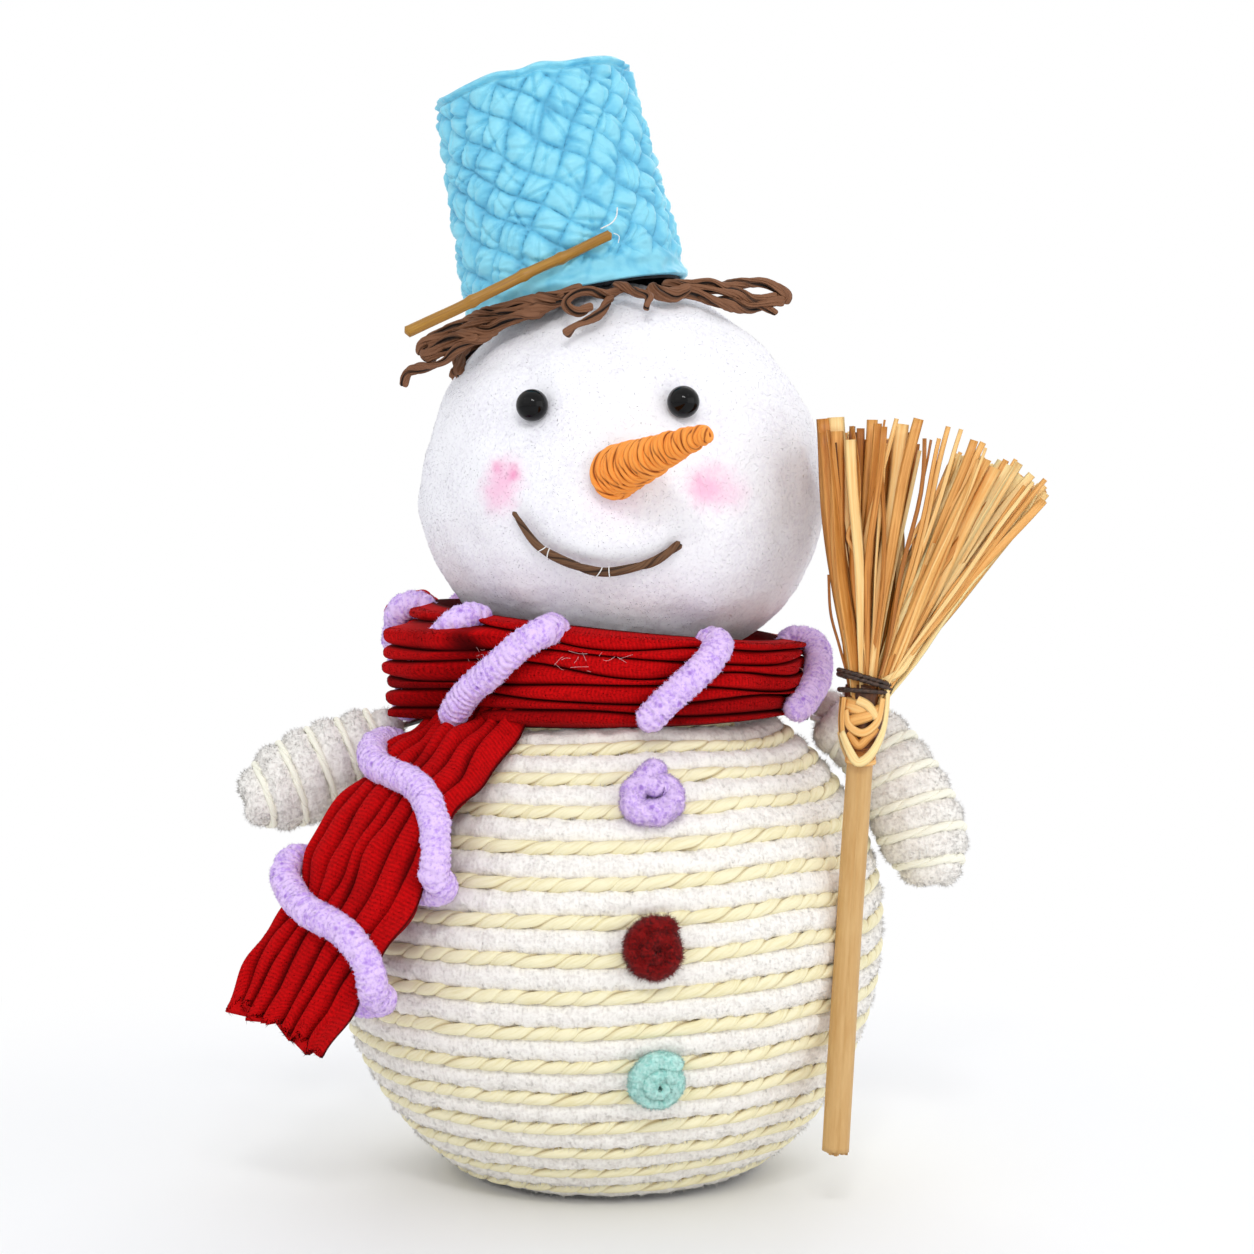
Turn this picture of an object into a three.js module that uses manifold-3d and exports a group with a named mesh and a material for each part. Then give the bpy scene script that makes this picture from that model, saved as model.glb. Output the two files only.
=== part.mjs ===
// Fabric snowman doll, standing on a flat board disc.
// Millimetres, +Z up. The doll faces -Y and its own left is +X.
// The origin is the centre of the board disc's underside, on the body's axis.
import * as THREE from 'three';
import { mergeVertices } from 'three/addons/utils/BufferGeometryUtils.js';
import Module from 'manifold-3d';

const wasm = await Module();
wasm.setup();

// Clearances
const SEAT_GAP = 0.3; // between pieces that touch
const LOOP_GAP = 0.4; // least gap of a winding to itself

// Body: two half ellipses of revolution, measured over its windings
const BODY_RADIUS = 82.2;
const BELLY_HEIGHT = 75;
const BODY_LOWER_REACH = 86.9;
const SHOULDER_RADIUS = 57.4; // a place on the upper half, where the collar sits
const SHOULDER_HEIGHT = 129.4;
const SHOULDER_SHARE = Math.sqrt(1 - (SHOULDER_RADIUS / BODY_RADIUS) ** 2);
const BODY_UPPER_REACH = (SHOULDER_HEIGHT - BELLY_HEIGHT) / SHOULDER_SHARE;
const BODY_CORE_TOP = 138;
const BODY_SEGMENTS = 14;

// Winding on the body: a plush stem and a twisted paper cord, side by side
const PLUSH_RADIUS = 3.3;
const PAPER_CORD_RADIUS = 1.5;
const WINDING_PITCH = 9.8;
const WINDING_FOOT_RADIUS = 37.5;
const WINDING_TOP = 137.4;

// Foot disc
const FOOT_RADIUS = 33;
const FOOT_THICKNESS = 1.6;

// Neck
const NECK_RADIUS = 20;
const NECK_TOP = 149.7;
const DOWEL_RADIUS = 4;
const DOWEL_BOTTOM = 104;
const DOWEL_TOP = 186;

// Head: two half ellipses of revolution round its own axis, measured over its cover
const HEAD_AXIS_X = 4.8;
const HEAD_HEIGHT = 200;
const HEAD_RADIUS = 61;
const HEAD_UPPER_REACH = 64.5;
const HEAD_LOWER_REACH = 52;
const COVER_THICKNESS = 1.6;
const COVER_OPENING_RADIUS = 26;
const HEAD_SEGMENTS = 24;

// Face
const EYE_RADIUS = 4.4;
const EYE_PROUD = 1.2; // centre of the bead beyond the cover's surface
const EYE_PLACES = { right: [-19.8, 224.4], left: [21.2, 225.1] }; // across, up
const MOUTH_RADIUS = 1.1;
const MOUTH_PLACES = [
  [-25, 195.3], [-17.8, 185.9], [-8.2, 180.9], [1.3, 179.3], [12.3, 181.5], [20.6, 186.9],
];
const NOSE_BASE = [1.9, 205.4]; // across, up
const NOSE_TIP = [26.6, -91, 215.1];
const NOSE_TURNED_BY = 0.8; // share of the nose over which its turns come square to it
const NOSE_BASE_RADIUS = 7.4;
const NOSE_TIP_RADIUS = 2.3;
const NOSE_CORD_RADIUS = 0.9;
const NOSE_CORE_END = 0.85; // share of the nose that its core fills
const NOSE_TURNS = 12;

// Hat: a bucket upside down
const HAT_RIM_RADIUS = 33;
const HAT_CROWN_RADIUS = 28.6;
const HAT_HEIGHT = 65;
const HAT_WALL = 1.6;
const HAT_LINING = 0.8;
const HAT_CENTRE_X = -8.8;
const HAT_LEAN = THREE.MathUtils.degToRad(11.9);
const HAT_SEGMENTS = 28;
const HAIR_RADIUS = 1.7;
const TWIG_RADIUS = 1.6;

// Scarf: corded strips side by side, tied over with plush stems
const COLLAR_RADIUS = 55;
const COLLAR_BULGE = 1.6; // how much further out the middle cords run
const COLLAR_CORDS = 6;
const COLLAR_CORD_DEPTH = 4.8; // half of a cord's depth, from the neck outwards
const TAIL_CORD_DEPTH = 2.2; // half of a cord's depth where the strip hangs
const COLLAR_START = -118; // degrees round from the front, where the strip's ends meet
const COLLAR_SWEEP = 352;
const COLLAR_STEPS = 22;
const CORD_GAP = 0.4;
const TAIL_CORDS = 7;
const WRAP_RADIUS = 3.1;

// Arms
const ARM_RADIUS = 11.4;
const ARM_ROOT_RADIUS = 7.6;
const ARM_START = 4; // from the shoulder's bend to the first turn
const ARM_PITCH = 9;
const ARM_PLUSH_RADIUS = 3.1;
const ARM_CORD_RADIUS = 1.15;
const ARM_SEGMENTS = 8;
// Each arm's middle line: the shoulder's bend, a point that pulls the curve, and the end of the hand
const ARM_LINES = {
  right: [[-60.5, -9, 133], [-80, -16, 123], [-102.7, -24.6, 111]],
  left: [[60.5, -1, 134.8], [83, -5, 138], [97.5, -14, 88.5]],
};
const WIRE_RADIUS = 0.9;
const WIRE_DEPTH = 46; // from the shoulder's bend into the neck
const WIRE_GAP = 0.5; // where the wire bends
const WIRE_RISE = 3; // how much it climbs by the collar's inner edge

// Buttons
const BUTTON_RADIUS = 8.8;
const BUTTON_DEPTH = 3.6; // half of a button's depth
const BUTTON_PLACES = { lilac: [12.1, 116], red: [12.8, 78.5], mint: [13.7, 44] }; // across, up

// Broom
const HANDLE_RADIUS = 3.7;
const HANDLE_BOTTOM = [64.2, -56.0, 18];
const HANDLE_LEAN = [7, 6, 110]; // direction from its foot
const HANDLE_LENGTH = 126.5;
const KNOT_LENGTH = 19;
const KNOT_TOP_RADIUS = 6.4;
const KNOT_FOOT_RADIUS = 4.6;
const STRAW_ROWS = 10; // strands along one side of the bunch, 3 * rows * rows in all
const STRAW_PITCH = 0.72;
const STRAW_BACKING = 6.5;
const STRAW_LENGTH = 73;
const STRAW_NOMINAL_HEIGHT = 72;
const STRAW_SHIFT = 20; // how far the bunch leans to the doll's left at the nominal height
const STRAW_SPREAD_X = 39;
const STRAW_SPREAD_Y = 12;
const TIE_RADIUS = 0.9;

// Chosen points were laid round a body, a collar and a hat rim of these radii; they move out with them
const LAID_ROUND = { body: 82.2, collar: 55, rim: 33 };
const BODY_GROWTH = BODY_RADIUS - LAID_ROUND.body;
const RIM_GROWTH = HAT_RIM_RADIUS - LAID_ROUND.rim;
const LIMB_GROWTH = Math.max(BODY_GROWTH, COLLAR_RADIUS - LAID_ROUND.collar);

const COLOURS = {
  plushWhite: '#f1eef0',
  paperCream: '#f0ebc8',
  foam: '#f4f4f2',
  board: '#c9b89a',
  beech: '#d8bc8c',
  fleece: '#f3f0f6',
  bead: '#101012',
  orange: '#f08a3c',
  brownCord: '#4a3626',
  hair: '#5a3a26',
  hatBlue: '#6fc3de',
  hatBlack: '#1d1d20',
  twig: '#b0832f',
  scarfRed: '#b00a0e',
  lilac: '#d9bff2',
  mint: '#a9dfd8',
  handle: '#c9a468',
  straw: '#d9b070',
  tie: '#3a2418',
  wire: '#8f9296',
};

const doll = new THREE.Group();

// A point moved away from the upright axis.
function movedOut([x, y, z], distance) {
  const share = 1 + distance / Math.hypot(x, y);
  return new THREE.Vector3(x * share, y * share, z);
}

// Solids

// One closed body: shared vertices merged, slivers dropped, faces pointing out.
function closedBody(geometry) {
  const bare = new THREE.BufferGeometry();
  bare.setAttribute('position', geometry.getAttribute('position').clone());
  if (geometry.index) bare.setIndex(geometry.index.clone());
  const merged = mergeVertices(bare, 1e-4);
  const places = merged.getAttribute('position');
  const corners = Array.from(merged.index.array);
  const kept = [];
  for (let i = 0; i < corners.length; i += 3) {
    const [a, b, c] = corners.slice(i, i + 3);
    if (a !== b && b !== c && c !== a) kept.push(a, b, c);
  }
  if (signedVolume(places, kept) < 0) kept.reverse();
  merged.setIndex(kept);
  return merged;
}

function signedVolume(places, corners) {
  const [a, b, c] = [new THREE.Vector3(), new THREE.Vector3(), new THREE.Vector3()];
  let volume = 0;
  for (let i = 0; i < corners.length; i += 3) {
    a.fromBufferAttribute(places, corners[i]);
    b.fromBufferAttribute(places, corners[i + 1]);
    c.fromBufferAttribute(places, corners[i + 2]);
    volume += a.dot(b.cross(c)) / 6;
  }
  return volume;
}

function toManifold(geometry) {
  return new wasm.Manifold(new wasm.Mesh({
    numProp: 3,
    vertProperties: new Float32Array(geometry.getAttribute('position').array),
    triVerts: new Uint32Array(geometry.index.array),
  }));
}

function fromManifold(solid) {
  const mesh = solid.getMesh();
  const geometry = new THREE.BufferGeometry();
  geometry.setAttribute('position', new THREE.BufferAttribute(new Float32Array(mesh.vertProperties), 3));
  geometry.setIndex(Array.from(mesh.triVerts));
  return geometry;
}

// The first solid with the others cut out of it.
function cutFrom(geometry, ...cutters) {
  let solid = toManifold(geometry);
  for (const cutter of cutters) solid = solid.subtract(toManifold(cutter));
  return fromManifold(solid);
}

// A solid of revolution about Z; the profile of [radius, height] starts and ends on the axis or closes.
function revolve(profile, segments) {
  const points = profile.map(([r, z]) => new THREE.Vector2(r, z));
  return closedBody(new THREE.LatheGeometry(points, segments).rotateX(Math.PI / 2));
}

// A closed skin over rings of points, with flat ends.
function skin(rings) {
  const sides = rings[0].length;
  const positions = rings.flat().flatMap((p) => [p.x, p.y, p.z]);
  const corners = [];
  for (let k = 0; k < rings.length - 1; k += 1) {
    for (let j = 0; j < sides; j += 1) {
      const a = k * sides + j;
      const b = k * sides + ((j + 1) % sides);
      corners.push(a, b, b + sides, a, b + sides, a + sides);
    }
  }
  const last = (rings.length - 1) * sides;
  for (let j = 1; j < sides - 1; j += 1) {
    corners.push(0, j + 1, j);
    corners.push(last, last + j, last + j + 1);
  }
  const geometry = new THREE.BufferGeometry();
  geometry.setAttribute('position', new THREE.Float32BufferAttribute(positions, 3));
  geometry.setIndex(corners);
  return closedBody(geometry);
}

// A ring of points round a centre, in the plane of two directions.
function ringOf(centre, across, up, halfAcross, halfUp, sides) {
  return Array.from({ length: sides }, (_, j) => {
    const angle = (2 * Math.PI * (j + 0.5)) / sides;
    return centre.clone()
      .addScaledVector(across, halfAcross * Math.cos(angle))
      .addScaledVector(up, halfUp * Math.sin(angle));
  });
}

// A round cord along a curve.
function cordAlong(curve, radius, sides, steps) {
  const section = new THREE.Shape(Array.from({ length: sides }, (_, j) => {
    const angle = (2 * Math.PI * j) / sides;
    return new THREE.Vector2(radius * Math.cos(angle), radius * Math.sin(angle));
  }));
  const options = { steps, bevelEnabled: false, extrudePath: curve };
  return closedBody(new THREE.ExtrudeGeometry(section, options));
}

function smoothCurve(points) {
  return new THREE.CatmullRomCurve3(points.map((p) => (p.isVector3 ? p : new THREE.Vector3(...p))));
}

// Windings

// Rings of a cord wound round a spine. place(t) gives the spine's point, two cross directions,
// its own direction and the winding's radius, for t from 0 to 1.
function woundCord({ place, turns, stepsPerTurn, cordRadius, sides, startAngle = 0, label }) {
  const steps = Math.round(turns * stepsPerTurn);
  const centres = [];
  const rings = [];
  for (let k = 0; k <= steps; k += 1) {
    const { centre, crossA, crossB, along, radius } = place(k / steps);
    const angle = startAngle + (2 * Math.PI * k) / stepsPerTurn;
    const outward = crossA.clone().multiplyScalar(Math.cos(angle)).addScaledVector(crossB, Math.sin(angle));
    const middle = centre.clone().addScaledVector(outward, radius);
    centres.push(middle);
    rings.push(ringOf(middle, outward, along, cordRadius, cordRadius, sides));
  }
  reportLoopGap(label, centres, stepsPerTurn, cordRadius);
  return skin(rings);
}

// A place on a curved middle line: its point, its direction and two directions across it.
function frameOn(curve, t) {
  const along = curve.getTangentAt(t);
  const crossB = new THREE.Vector3(0, 0, 1).cross(along).normalize();
  return { centre: curve.getPointAt(t), crossA: along.clone().cross(crossB), crossB, along };
}

// Least distance between turns, measured on the winding's points.
function reportLoopGap(label, centres, stepsPerTurn, cordRadius) {
  let least = Infinity;
  const apart = Math.ceil(stepsPerTurn / 2);
  for (let i = 0; i < centres.length; i += 1) {
    for (let j = i + apart; j < centres.length; j += 1) {
      least = Math.min(least, centres[i].distanceTo(centres[j]) - 2 * cordRadius);
    }
  }
  const verdict = least > LOOP_GAP ? 'clear' : 'TOO CLOSE';
  console.log(`${label}: least gap to itself ${least.toFixed(2)} mm, ${verdict}`);
}

// A path of [radius, height] points, with its place at any distance along it. Distances may be measured
// on another path with as many points, so that two cords wound side by side stay in step.
function meridian(points, measured = points) {
  const distances = [0];
  for (let i = 1; i < points.length; i += 1) {
    const step = Math.hypot(measured[i][0] - measured[i - 1][0], measured[i][1] - measured[i - 1][1]);
    distances.push(distances[i - 1] + step);
  }
  const length = distances[distances.length - 1];
  const at = (distance) => {
    const d = THREE.MathUtils.clamp(distance, 0, length);
    let i = 1;
    while (i < points.length - 1 && distances[i] < d) i += 1;
    const share = (d - distances[i - 1]) / (distances[i] - distances[i - 1]);
    return [0, 1].map((axis) => THREE.MathUtils.lerp(points[i - 1][axis], points[i][axis], share));
  };
  return { length, at };
}

// A point of a half ellipse profile, drawn in from the surface along its normal.
function ellipsePoint(radius, middle, lowerReach, upperReach, angle, depth) {
  const reach = angle < 0 ? lowerReach : upperReach;
  const normal = new THREE.Vector2(reach * Math.cos(angle), radius * Math.sin(angle)).normalize();
  return [
    radius * Math.cos(angle) - depth * normal.x,
    middle + reach * Math.sin(angle) - depth * normal.y,
  ];
}

function ellipseRadiusAt(radius, middle, lowerReach, upperReach, height) {
  const reach = height < middle ? lowerReach : upperReach;
  return radius * Math.sqrt(Math.max(0, 1 - ((height - middle) / reach) ** 2));
}

// Nodes

function addNode(parent, name, geometry, colour, roughness, metalness = 0) {
  const material = new THREE.MeshStandardMaterial({ color: colour, roughness, metalness });
  const mesh = new THREE.Mesh(geometry, material);
  mesh.name = name;
  parent.add(mesh);
  return mesh;
}

// Body

function bodyPoint(angle, depth) {
  return ellipsePoint(BODY_RADIUS, BELLY_HEIGHT, BODY_LOWER_REACH, BODY_UPPER_REACH, angle, depth);
}

function bodyRadiusAt(height) {
  return ellipseRadiusAt(BODY_RADIUS, BELLY_HEIGHT, BODY_LOWER_REACH, BODY_UPPER_REACH, height);
}

// Body profile at a depth below the surface, between two heights.
function bodyProfile(depth, lowest, highest, count) {
  const fine = count * 8;
  const points = Array.from({ length: fine }, (_, i) => {
    const angle = (Math.PI * (i + 1)) / (fine + 1) - Math.PI / 2;
    return bodyPoint(angle, depth);
  });
  const inside = points.filter(([, z]) => z > lowest && z < highest);
  const spacing = (inside.length - 1) / (count - 1);
  return Array.from({ length: count }, (_, i) => inside[Math.round(i * spacing)]);
}

// Lowest and highest places of the winding on the body's surface, as angles of its half ellipses
const WINDING_START = Math.asin((PLUSH_RADIUS + SEAT_GAP - BELLY_HEIGHT) / BODY_LOWER_REACH);
const WINDING_END = Math.asin((WINDING_TOP - BELLY_HEIGHT) / BODY_UPPER_REACH);

// Height of the plush's centre where it comes in under the foot, at a radius.
function windingFootHeight(radius) {
  const [edgeRadius, edgeHeight] = bodyPoint(WINDING_START, PLUSH_RADIUS);
  const footHeight = PLUSH_RADIUS + SEAT_GAP;
  return THREE.MathUtils.mapLinear(radius, WINDING_FOOT_RADIUS, edgeRadius, footHeight, edgeHeight);
}

// The line along which a cord's centre runs round the body: first in under the foot, then up the side.
function windingMeridian(cordRadius) {
  const count = 90;
  const lineFor = (radius) => {
    const side = Array.from({ length: count }, (_, i) => {
      const angle = THREE.MathUtils.lerp(WINDING_START, WINDING_END, i / (count - 1));
      const [r, z] = bodyPoint(angle, radius);
      return [r, Math.max(z, radius + SEAT_GAP)];
    });
    return [[WINDING_FOOT_RADIUS, radius + SEAT_GAP], ...side];
  };
  return meridian(lineFor(cordRadius), lineFor(PLUSH_RADIUS));
}

function bodyWinding(cordRadius, sides, lead, label) {
  const path = windingMeridian(cordRadius);
  const turns = Math.floor(((path.length - lead) / WINDING_PITCH) * BODY_SEGMENTS) / BODY_SEGMENTS;
  const axis = new THREE.Vector3(0, 0, 1);
  return woundCord({
    place: (t) => {
      const [radius, height] = path.at(lead + t * turns * WINDING_PITCH);
      return {
        centre: new THREE.Vector3(0, 0, height),
        crossA: new THREE.Vector3(1, 0, 0),
        crossB: new THREE.Vector3(0, 1, 0),
        along: axis,
        radius,
      };
    },
    turns,
    stepsPerTurn: BODY_SEGMENTS,
    cordRadius,
    sides,
    startAngle: Math.PI / 2,
    label,
  });
}

function buildBody() {
  const coreDepth = 2 * PLUSH_RADIUS + 2 * SEAT_GAP;
  const coreBottom = FOOT_THICKNESS + SEAT_GAP;
  const ledge = 2 * PLUSH_RADIUS + 3 * SEAT_GAP;
  const side = bodyProfile(coreDepth, ledge, BODY_CORE_TOP, 14)
    .map(([r, z]) => [r, Math.max(z, windingFootHeight(r) + PLUSH_RADIUS + SEAT_GAP)]);
  const foamProfile = [[0, coreBottom], [FOOT_RADIUS, coreBottom], [FOOT_RADIUS, ledge], ...side,
    [NECK_RADIUS, BODY_CORE_TOP], [NECK_RADIUS, NECK_TOP], [0, NECK_TOP]];
  const foam = revolve(foamProfile, BODY_SEGMENTS);
  const bored = cutFrom(foam, dowelSolid(SEAT_GAP), ...armWireSolids(SEAT_GAP));
  addNode(doll, 'body_core', bored, COLOURS.foam, 0.9);
  const foot = [[0, 0], [FOOT_RADIUS, 0], [FOOT_RADIUS, FOOT_THICKNESS], [0, FOOT_THICKNESS]];
  addNode(doll, 'foot_disc', revolve(foot, 32), COLOURS.board, 0.85);
  const plush = bodyWinding(PLUSH_RADIUS, 5, 0, 'body plush winding');
  addNode(doll, 'body_plush_winding', plush, COLOURS.plushWhite, 0.95);
  const paper = bodyWinding(PAPER_CORD_RADIUS, 4, WINDING_PITCH / 2, 'body paper cord');
  addNode(doll, 'body_paper_cord', paper, COLOURS.paperCream, 0.7);
  addNode(doll, 'neck_dowel', dowelSolid(0), COLOURS.beech, 0.6);
}

function dowelSolid(clearance) {
  const radius = DOWEL_RADIUS + clearance;
  const [bottom, top] = [DOWEL_BOTTOM - clearance, DOWEL_TOP + clearance];
  const solid = revolve([[0, bottom], [radius, bottom], [radius, top], [0, top]], 16);
  return closedBody(solid.translate(HEAD_AXIS_X, 0, 0));
}

// Head

function headRadiusAt(height) {
  return ellipseRadiusAt(HEAD_RADIUS, HEAD_HEIGHT, HEAD_LOWER_REACH, HEAD_UPPER_REACH, height);
}

// Height of the head's upper surface over a point of the plan.
function headTopAt(x, y) {
  const share = Math.hypot(x - HEAD_AXIS_X, y) / HEAD_RADIUS;
  return HEAD_HEIGHT + HEAD_UPPER_REACH * Math.sqrt(Math.max(0, 1 - share ** 2));
}

function headNormal(point) {
  const reach = point.z < HEAD_HEIGHT ? HEAD_LOWER_REACH : HEAD_UPPER_REACH;
  return new THREE.Vector3(
    (point.x - HEAD_AXIS_X) / HEAD_RADIUS ** 2,
    point.y / HEAD_RADIUS ** 2,
    (point.z - HEAD_HEIGHT) / reach ** 2,
  ).normalize();
}

// A point on the front of the face, lifted off the cover.
function facePoint(x, z, lift) {
  const radius = headRadiusAt(z);
  const point = new THREE.Vector3(x, -Math.sqrt(radius ** 2 - (x - HEAD_AXIS_X) ** 2), z);
  return point.addScaledVector(headNormal(point), lift);
}

function headProfile(depth, lowest, count) {
  const points = [];
  for (let i = 0; i <= count; i += 1) {
    const angle = Math.PI / 2 - (Math.PI * i) / count;
    const point = ellipsePoint(HEAD_RADIUS, HEAD_HEIGHT, HEAD_LOWER_REACH, HEAD_UPPER_REACH, angle, depth);
    if (point[1] > lowest) points.push(i === 0 ? [0, point[1]] : point);
  }
  return points;
}

function ball(centre, radius) {
  return closedBody(new THREE.SphereGeometry(radius, 12, 8).translate(centre.x, centre.y, centre.z));
}

function buildHead() {
  const eyes = Object.entries(EYE_PLACES).map(([side, [x, z]]) => [side, facePoint(x, z, EYE_PROUD)]);
  const pockets = eyes.map(([, centre]) => ball(centre, EYE_RADIUS + SEAT_GAP));

  const neckSeat = NECK_TOP + SEAT_GAP;
  const coreProfile = headProfile(COVER_THICKNESS + SEAT_GAP, neckSeat, 14);
  const last = coreProfile[coreProfile.length - 1];
  const seat = [[Math.min(last[0], NECK_RADIUS), neckSeat], [0, neckSeat]];
  const core = revolve([...coreProfile, ...seat], HEAD_SEGMENTS);
  core.translate(HEAD_AXIS_X, 0, 0);
  addNode(doll, 'head_core', cutFrom(core, dowelSolid(SEAT_GAP), ...pockets), COLOURS.foam, 0.9);

  const openingAt = (profile) => profile.filter(([r, z]) => z > HEAD_HEIGHT || r > COVER_OPENING_RADIUS);
  const outer = openingAt(headProfile(0, neckSeat, 18));
  const inner = openingAt(headProfile(COVER_THICKNESS, neckSeat, 18));
  const cover = revolve([...outer, ...inner.reverse()], HEAD_SEGMENTS).translate(HEAD_AXIS_X, 0, 0);
  addNode(doll, 'head_cover', cutFrom(cover, ...pockets), COLOURS.fleece, 1);

  for (const [side, centre] of eyes) {
    addNode(doll, `${side}_eye`, ball(centre, EYE_RADIUS), COLOURS.bead, 0.1);
  }

  const mouth = smoothCurve(MOUTH_PLACES.map(([x, z]) => facePoint(x, z, MOUTH_RADIUS + 2 * SEAT_GAP)));
  addNode(doll, 'mouth_cord', cordAlong(mouth, MOUTH_RADIUS, 5, 14), COLOURS.brownCord, 0.8);
  buildNose();
}

// Nose: a straight cone set at a slant, its first turns lying flat on the face
function buildNose() {
  const squareHalf = Math.SQRT1_2; // a four-sided cord's flat, as a share of its radius
  const base = facePoint(...NOSE_BASE, NOSE_CORD_RADIUS * squareHalf + SEAT_GAP);
  const normal = headNormal(facePoint(...NOSE_BASE, 0));
  const tip = new THREE.Vector3(...NOSE_TIP);
  const direction = tip.clone().sub(base).normalize();
  const place = (t, inset = 0) => {
    const turned = THREE.MathUtils.smoothstep(t, 0, NOSE_TURNED_BY);
    const along = normal.clone().lerp(direction, turned).normalize();
    const crossB = new THREE.Vector3(0, 0, 1).cross(along).normalize();
    const radius = THREE.MathUtils.lerp(NOSE_BASE_RADIUS, NOSE_TIP_RADIUS, t) - NOSE_CORD_RADIUS - inset;
    const centre = base.clone().lerp(tip, t);
    return { centre, crossA: along.clone().cross(crossB), crossB, along, radius };
  };
  const winding = woundCord({
    place,
    turns: NOSE_TURNS,
    stepsPerTurn: 8,
    cordRadius: NOSE_CORD_RADIUS,
    sides: 4,
    label: 'nose winding',
  });
  addNode(doll, 'nose_winding', winding, COLOURS.orange, 0.7);

  const coreInset = NOSE_CORD_RADIUS + 3 * SEAT_GAP;
  const coreRings = [0, 0.25, 0.5, 0.75, 1].map((share) => {
    const { centre, crossA, crossB, radius } = place(share * NOSE_CORE_END, coreInset);
    return ringOf(centre, crossA, crossB, radius, radius, 8);
  });
  addNode(doll, 'nose_core', skin(coreRings), COLOURS.orange, 0.8);
}

// Hat and hair

// The height of the rim's centre at which the rim clears the hair that lies on the head.
function hatSeatHeight(rimRadius) {
  const lift = 2 * HAIR_RADIUS + SEAT_GAP;
  let seat = 0;
  for (let degrees = 0; degrees < 360; degrees += 5) {
    const angle = THREE.MathUtils.degToRad(degrees);
    const across = rimRadius * Math.cos(angle);
    const x = HAT_CENTRE_X + across * Math.cos(HAT_LEAN);
    const rise = across * Math.sin(HAT_LEAN);
    seat = Math.max(seat, headTopAt(x, rimRadius * Math.sin(angle)) - rise);
  }
  return seat + lift;
}

function buildHat() {
  const liningRim = HAT_RIM_RADIUS - HAT_WALL - SEAT_GAP;
  const liningCrown = HAT_CROWN_RADIUS - HAT_WALL - SEAT_GAP;
  const seat = hatSeatHeight(liningRim - HAT_LINING);
  const hat = new THREE.Group();
  hat.position.set(HAT_CENTRE_X, 0, seat);
  hat.rotation.y = -HAT_LEAN;
  doll.add(hat);

  const wall = [[HAT_RIM_RADIUS, 0], [HAT_CROWN_RADIUS, HAT_HEIGHT],
    [HAT_CROWN_RADIUS - HAT_WALL, HAT_HEIGHT], [HAT_RIM_RADIUS - HAT_WALL, 0], [HAT_RIM_RADIUS, 0]];
  addNode(hat, 'hat_wall', revolve(wall, HAT_SEGMENTS), COLOURS.hatBlue, 0.35);

  const crownBottom = HAT_HEIGHT - HAT_WALL;
  const crown = [[0, crownBottom], [liningCrown, crownBottom], [liningCrown, HAT_HEIGHT], [0, HAT_HEIGHT]];
  addNode(hat, 'hat_crown', revolve(crown, HAT_SEGMENTS), COLOURS.hatBlue, 0.35);

  const liningTop = crownBottom - SEAT_GAP;
  const lining = [[liningRim, 0], [liningCrown, liningTop], [liningCrown - HAT_LINING, liningTop],
    [liningRim - HAT_LINING, 0], [liningRim, 0]];
  addNode(hat, 'hat_lining', revolve(lining, HAT_SEGMENTS), COLOURS.hatBlack, 0.9);
  buildTwig(hat);
  buildHair(hat);
}

// A thin stick tied across the front of the hat, its outer end standing past the rim.
const TWIG_ROUTE = [[13.3, -0.9, 12.2], [-12, -0.2, 6.2], [-36.4, 0.9, 0], [-49.9, 1.2, -3.1]];

function buildTwig(hat) {
  const front = HAT_RIM_RADIUS + TWIG_RADIUS + SEAT_GAP;
  const points = TWIG_ROUTE.map(([x, forward, z]) => new THREE.Vector3(x, -front - forward, z));
  addNode(hat, 'hat_twig', cordAlong(smoothCurve(points), TWIG_RADIUS, 6, 8), COLOURS.twig, 0.6);
}

// Strands that hang out from under the rim, in the hat's own frame.
const HAIR_ROUTES = {
  hair_right_upper: [[-6, -28.5, -2.2], [-20, -25.5, -3.8], [-34, -21, -6], [-50, -18.5, -7.6]],
  hair_right_lower: [[-12, -32, -6.7], [-31, -28.5, -8.4], [-45.5, -24, -10.2], [-57.5, -20, -14.5]],
  hair_fringe_right: [[0.8, -29.5, -2.4], [-0.6, -37.5, -5], [-4.6, -43.4, -11], [-0.9, -46.4, -13.6]],
  hair_fringe_left: [[12, -26, -2.4], [14.4, -34.5, -4.6], [17.9, -41, -9.4], [21, -44.8, -13.8]],
  hair_left_upper: [[24.6, -20.5, -2.4], [34.8, -20.5, -3], [46.4, -20, -8], [59, -20, -14.4]],
  hair_left_lower: [[24.4, -25.5, -5.8], [35.2, -24, -10.1], [46.6, -21.5, -15.4], [55, -20, -18.2]],
};

function buildHair(hat) {
  for (const [name, route] of Object.entries(HAIR_ROUTES)) {
    const points = route.map((point) => movedOut(point, RIM_GROWTH));
    addNode(hat, name, cordAlong(smoothCurve(points), HAIR_RADIUS, 5, 6), COLOURS.hair, 0.7);
  }
}

// Scarf

// A direction and place round the neck; degrees run from the front towards the doll's left.
function around(degrees) {
  const angle = THREE.MathUtils.degToRad(degrees);
  return new THREE.Vector3(Math.sin(angle), -Math.cos(angle), 0);
}

function collarTop(degrees) {
  const angle = THREE.MathUtils.degToRad(degrees);
  return 163 - 5.5 * Math.sin(angle) - 1.5 * Math.cos(angle);
}

function collarBottom(degrees) {
  const angle = THREE.MathUtils.degToRad(degrees);
  return 137.5 + 0.5 * Math.sin(angle) - 1.1 * Math.cos(angle);
}

// A place just below the collar's lower edge, where the hanging end comes out.
function underCollar(degrees) {
  const point = around(degrees).multiplyScalar(collarRadius(0) + COLLAR_CORD_DEPTH / 2);
  point.z = collarBottom(degrees) - TAIL_TOP_GAP - LIMB_GROWTH * TAIL_TILT;
  return point;
}

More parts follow.
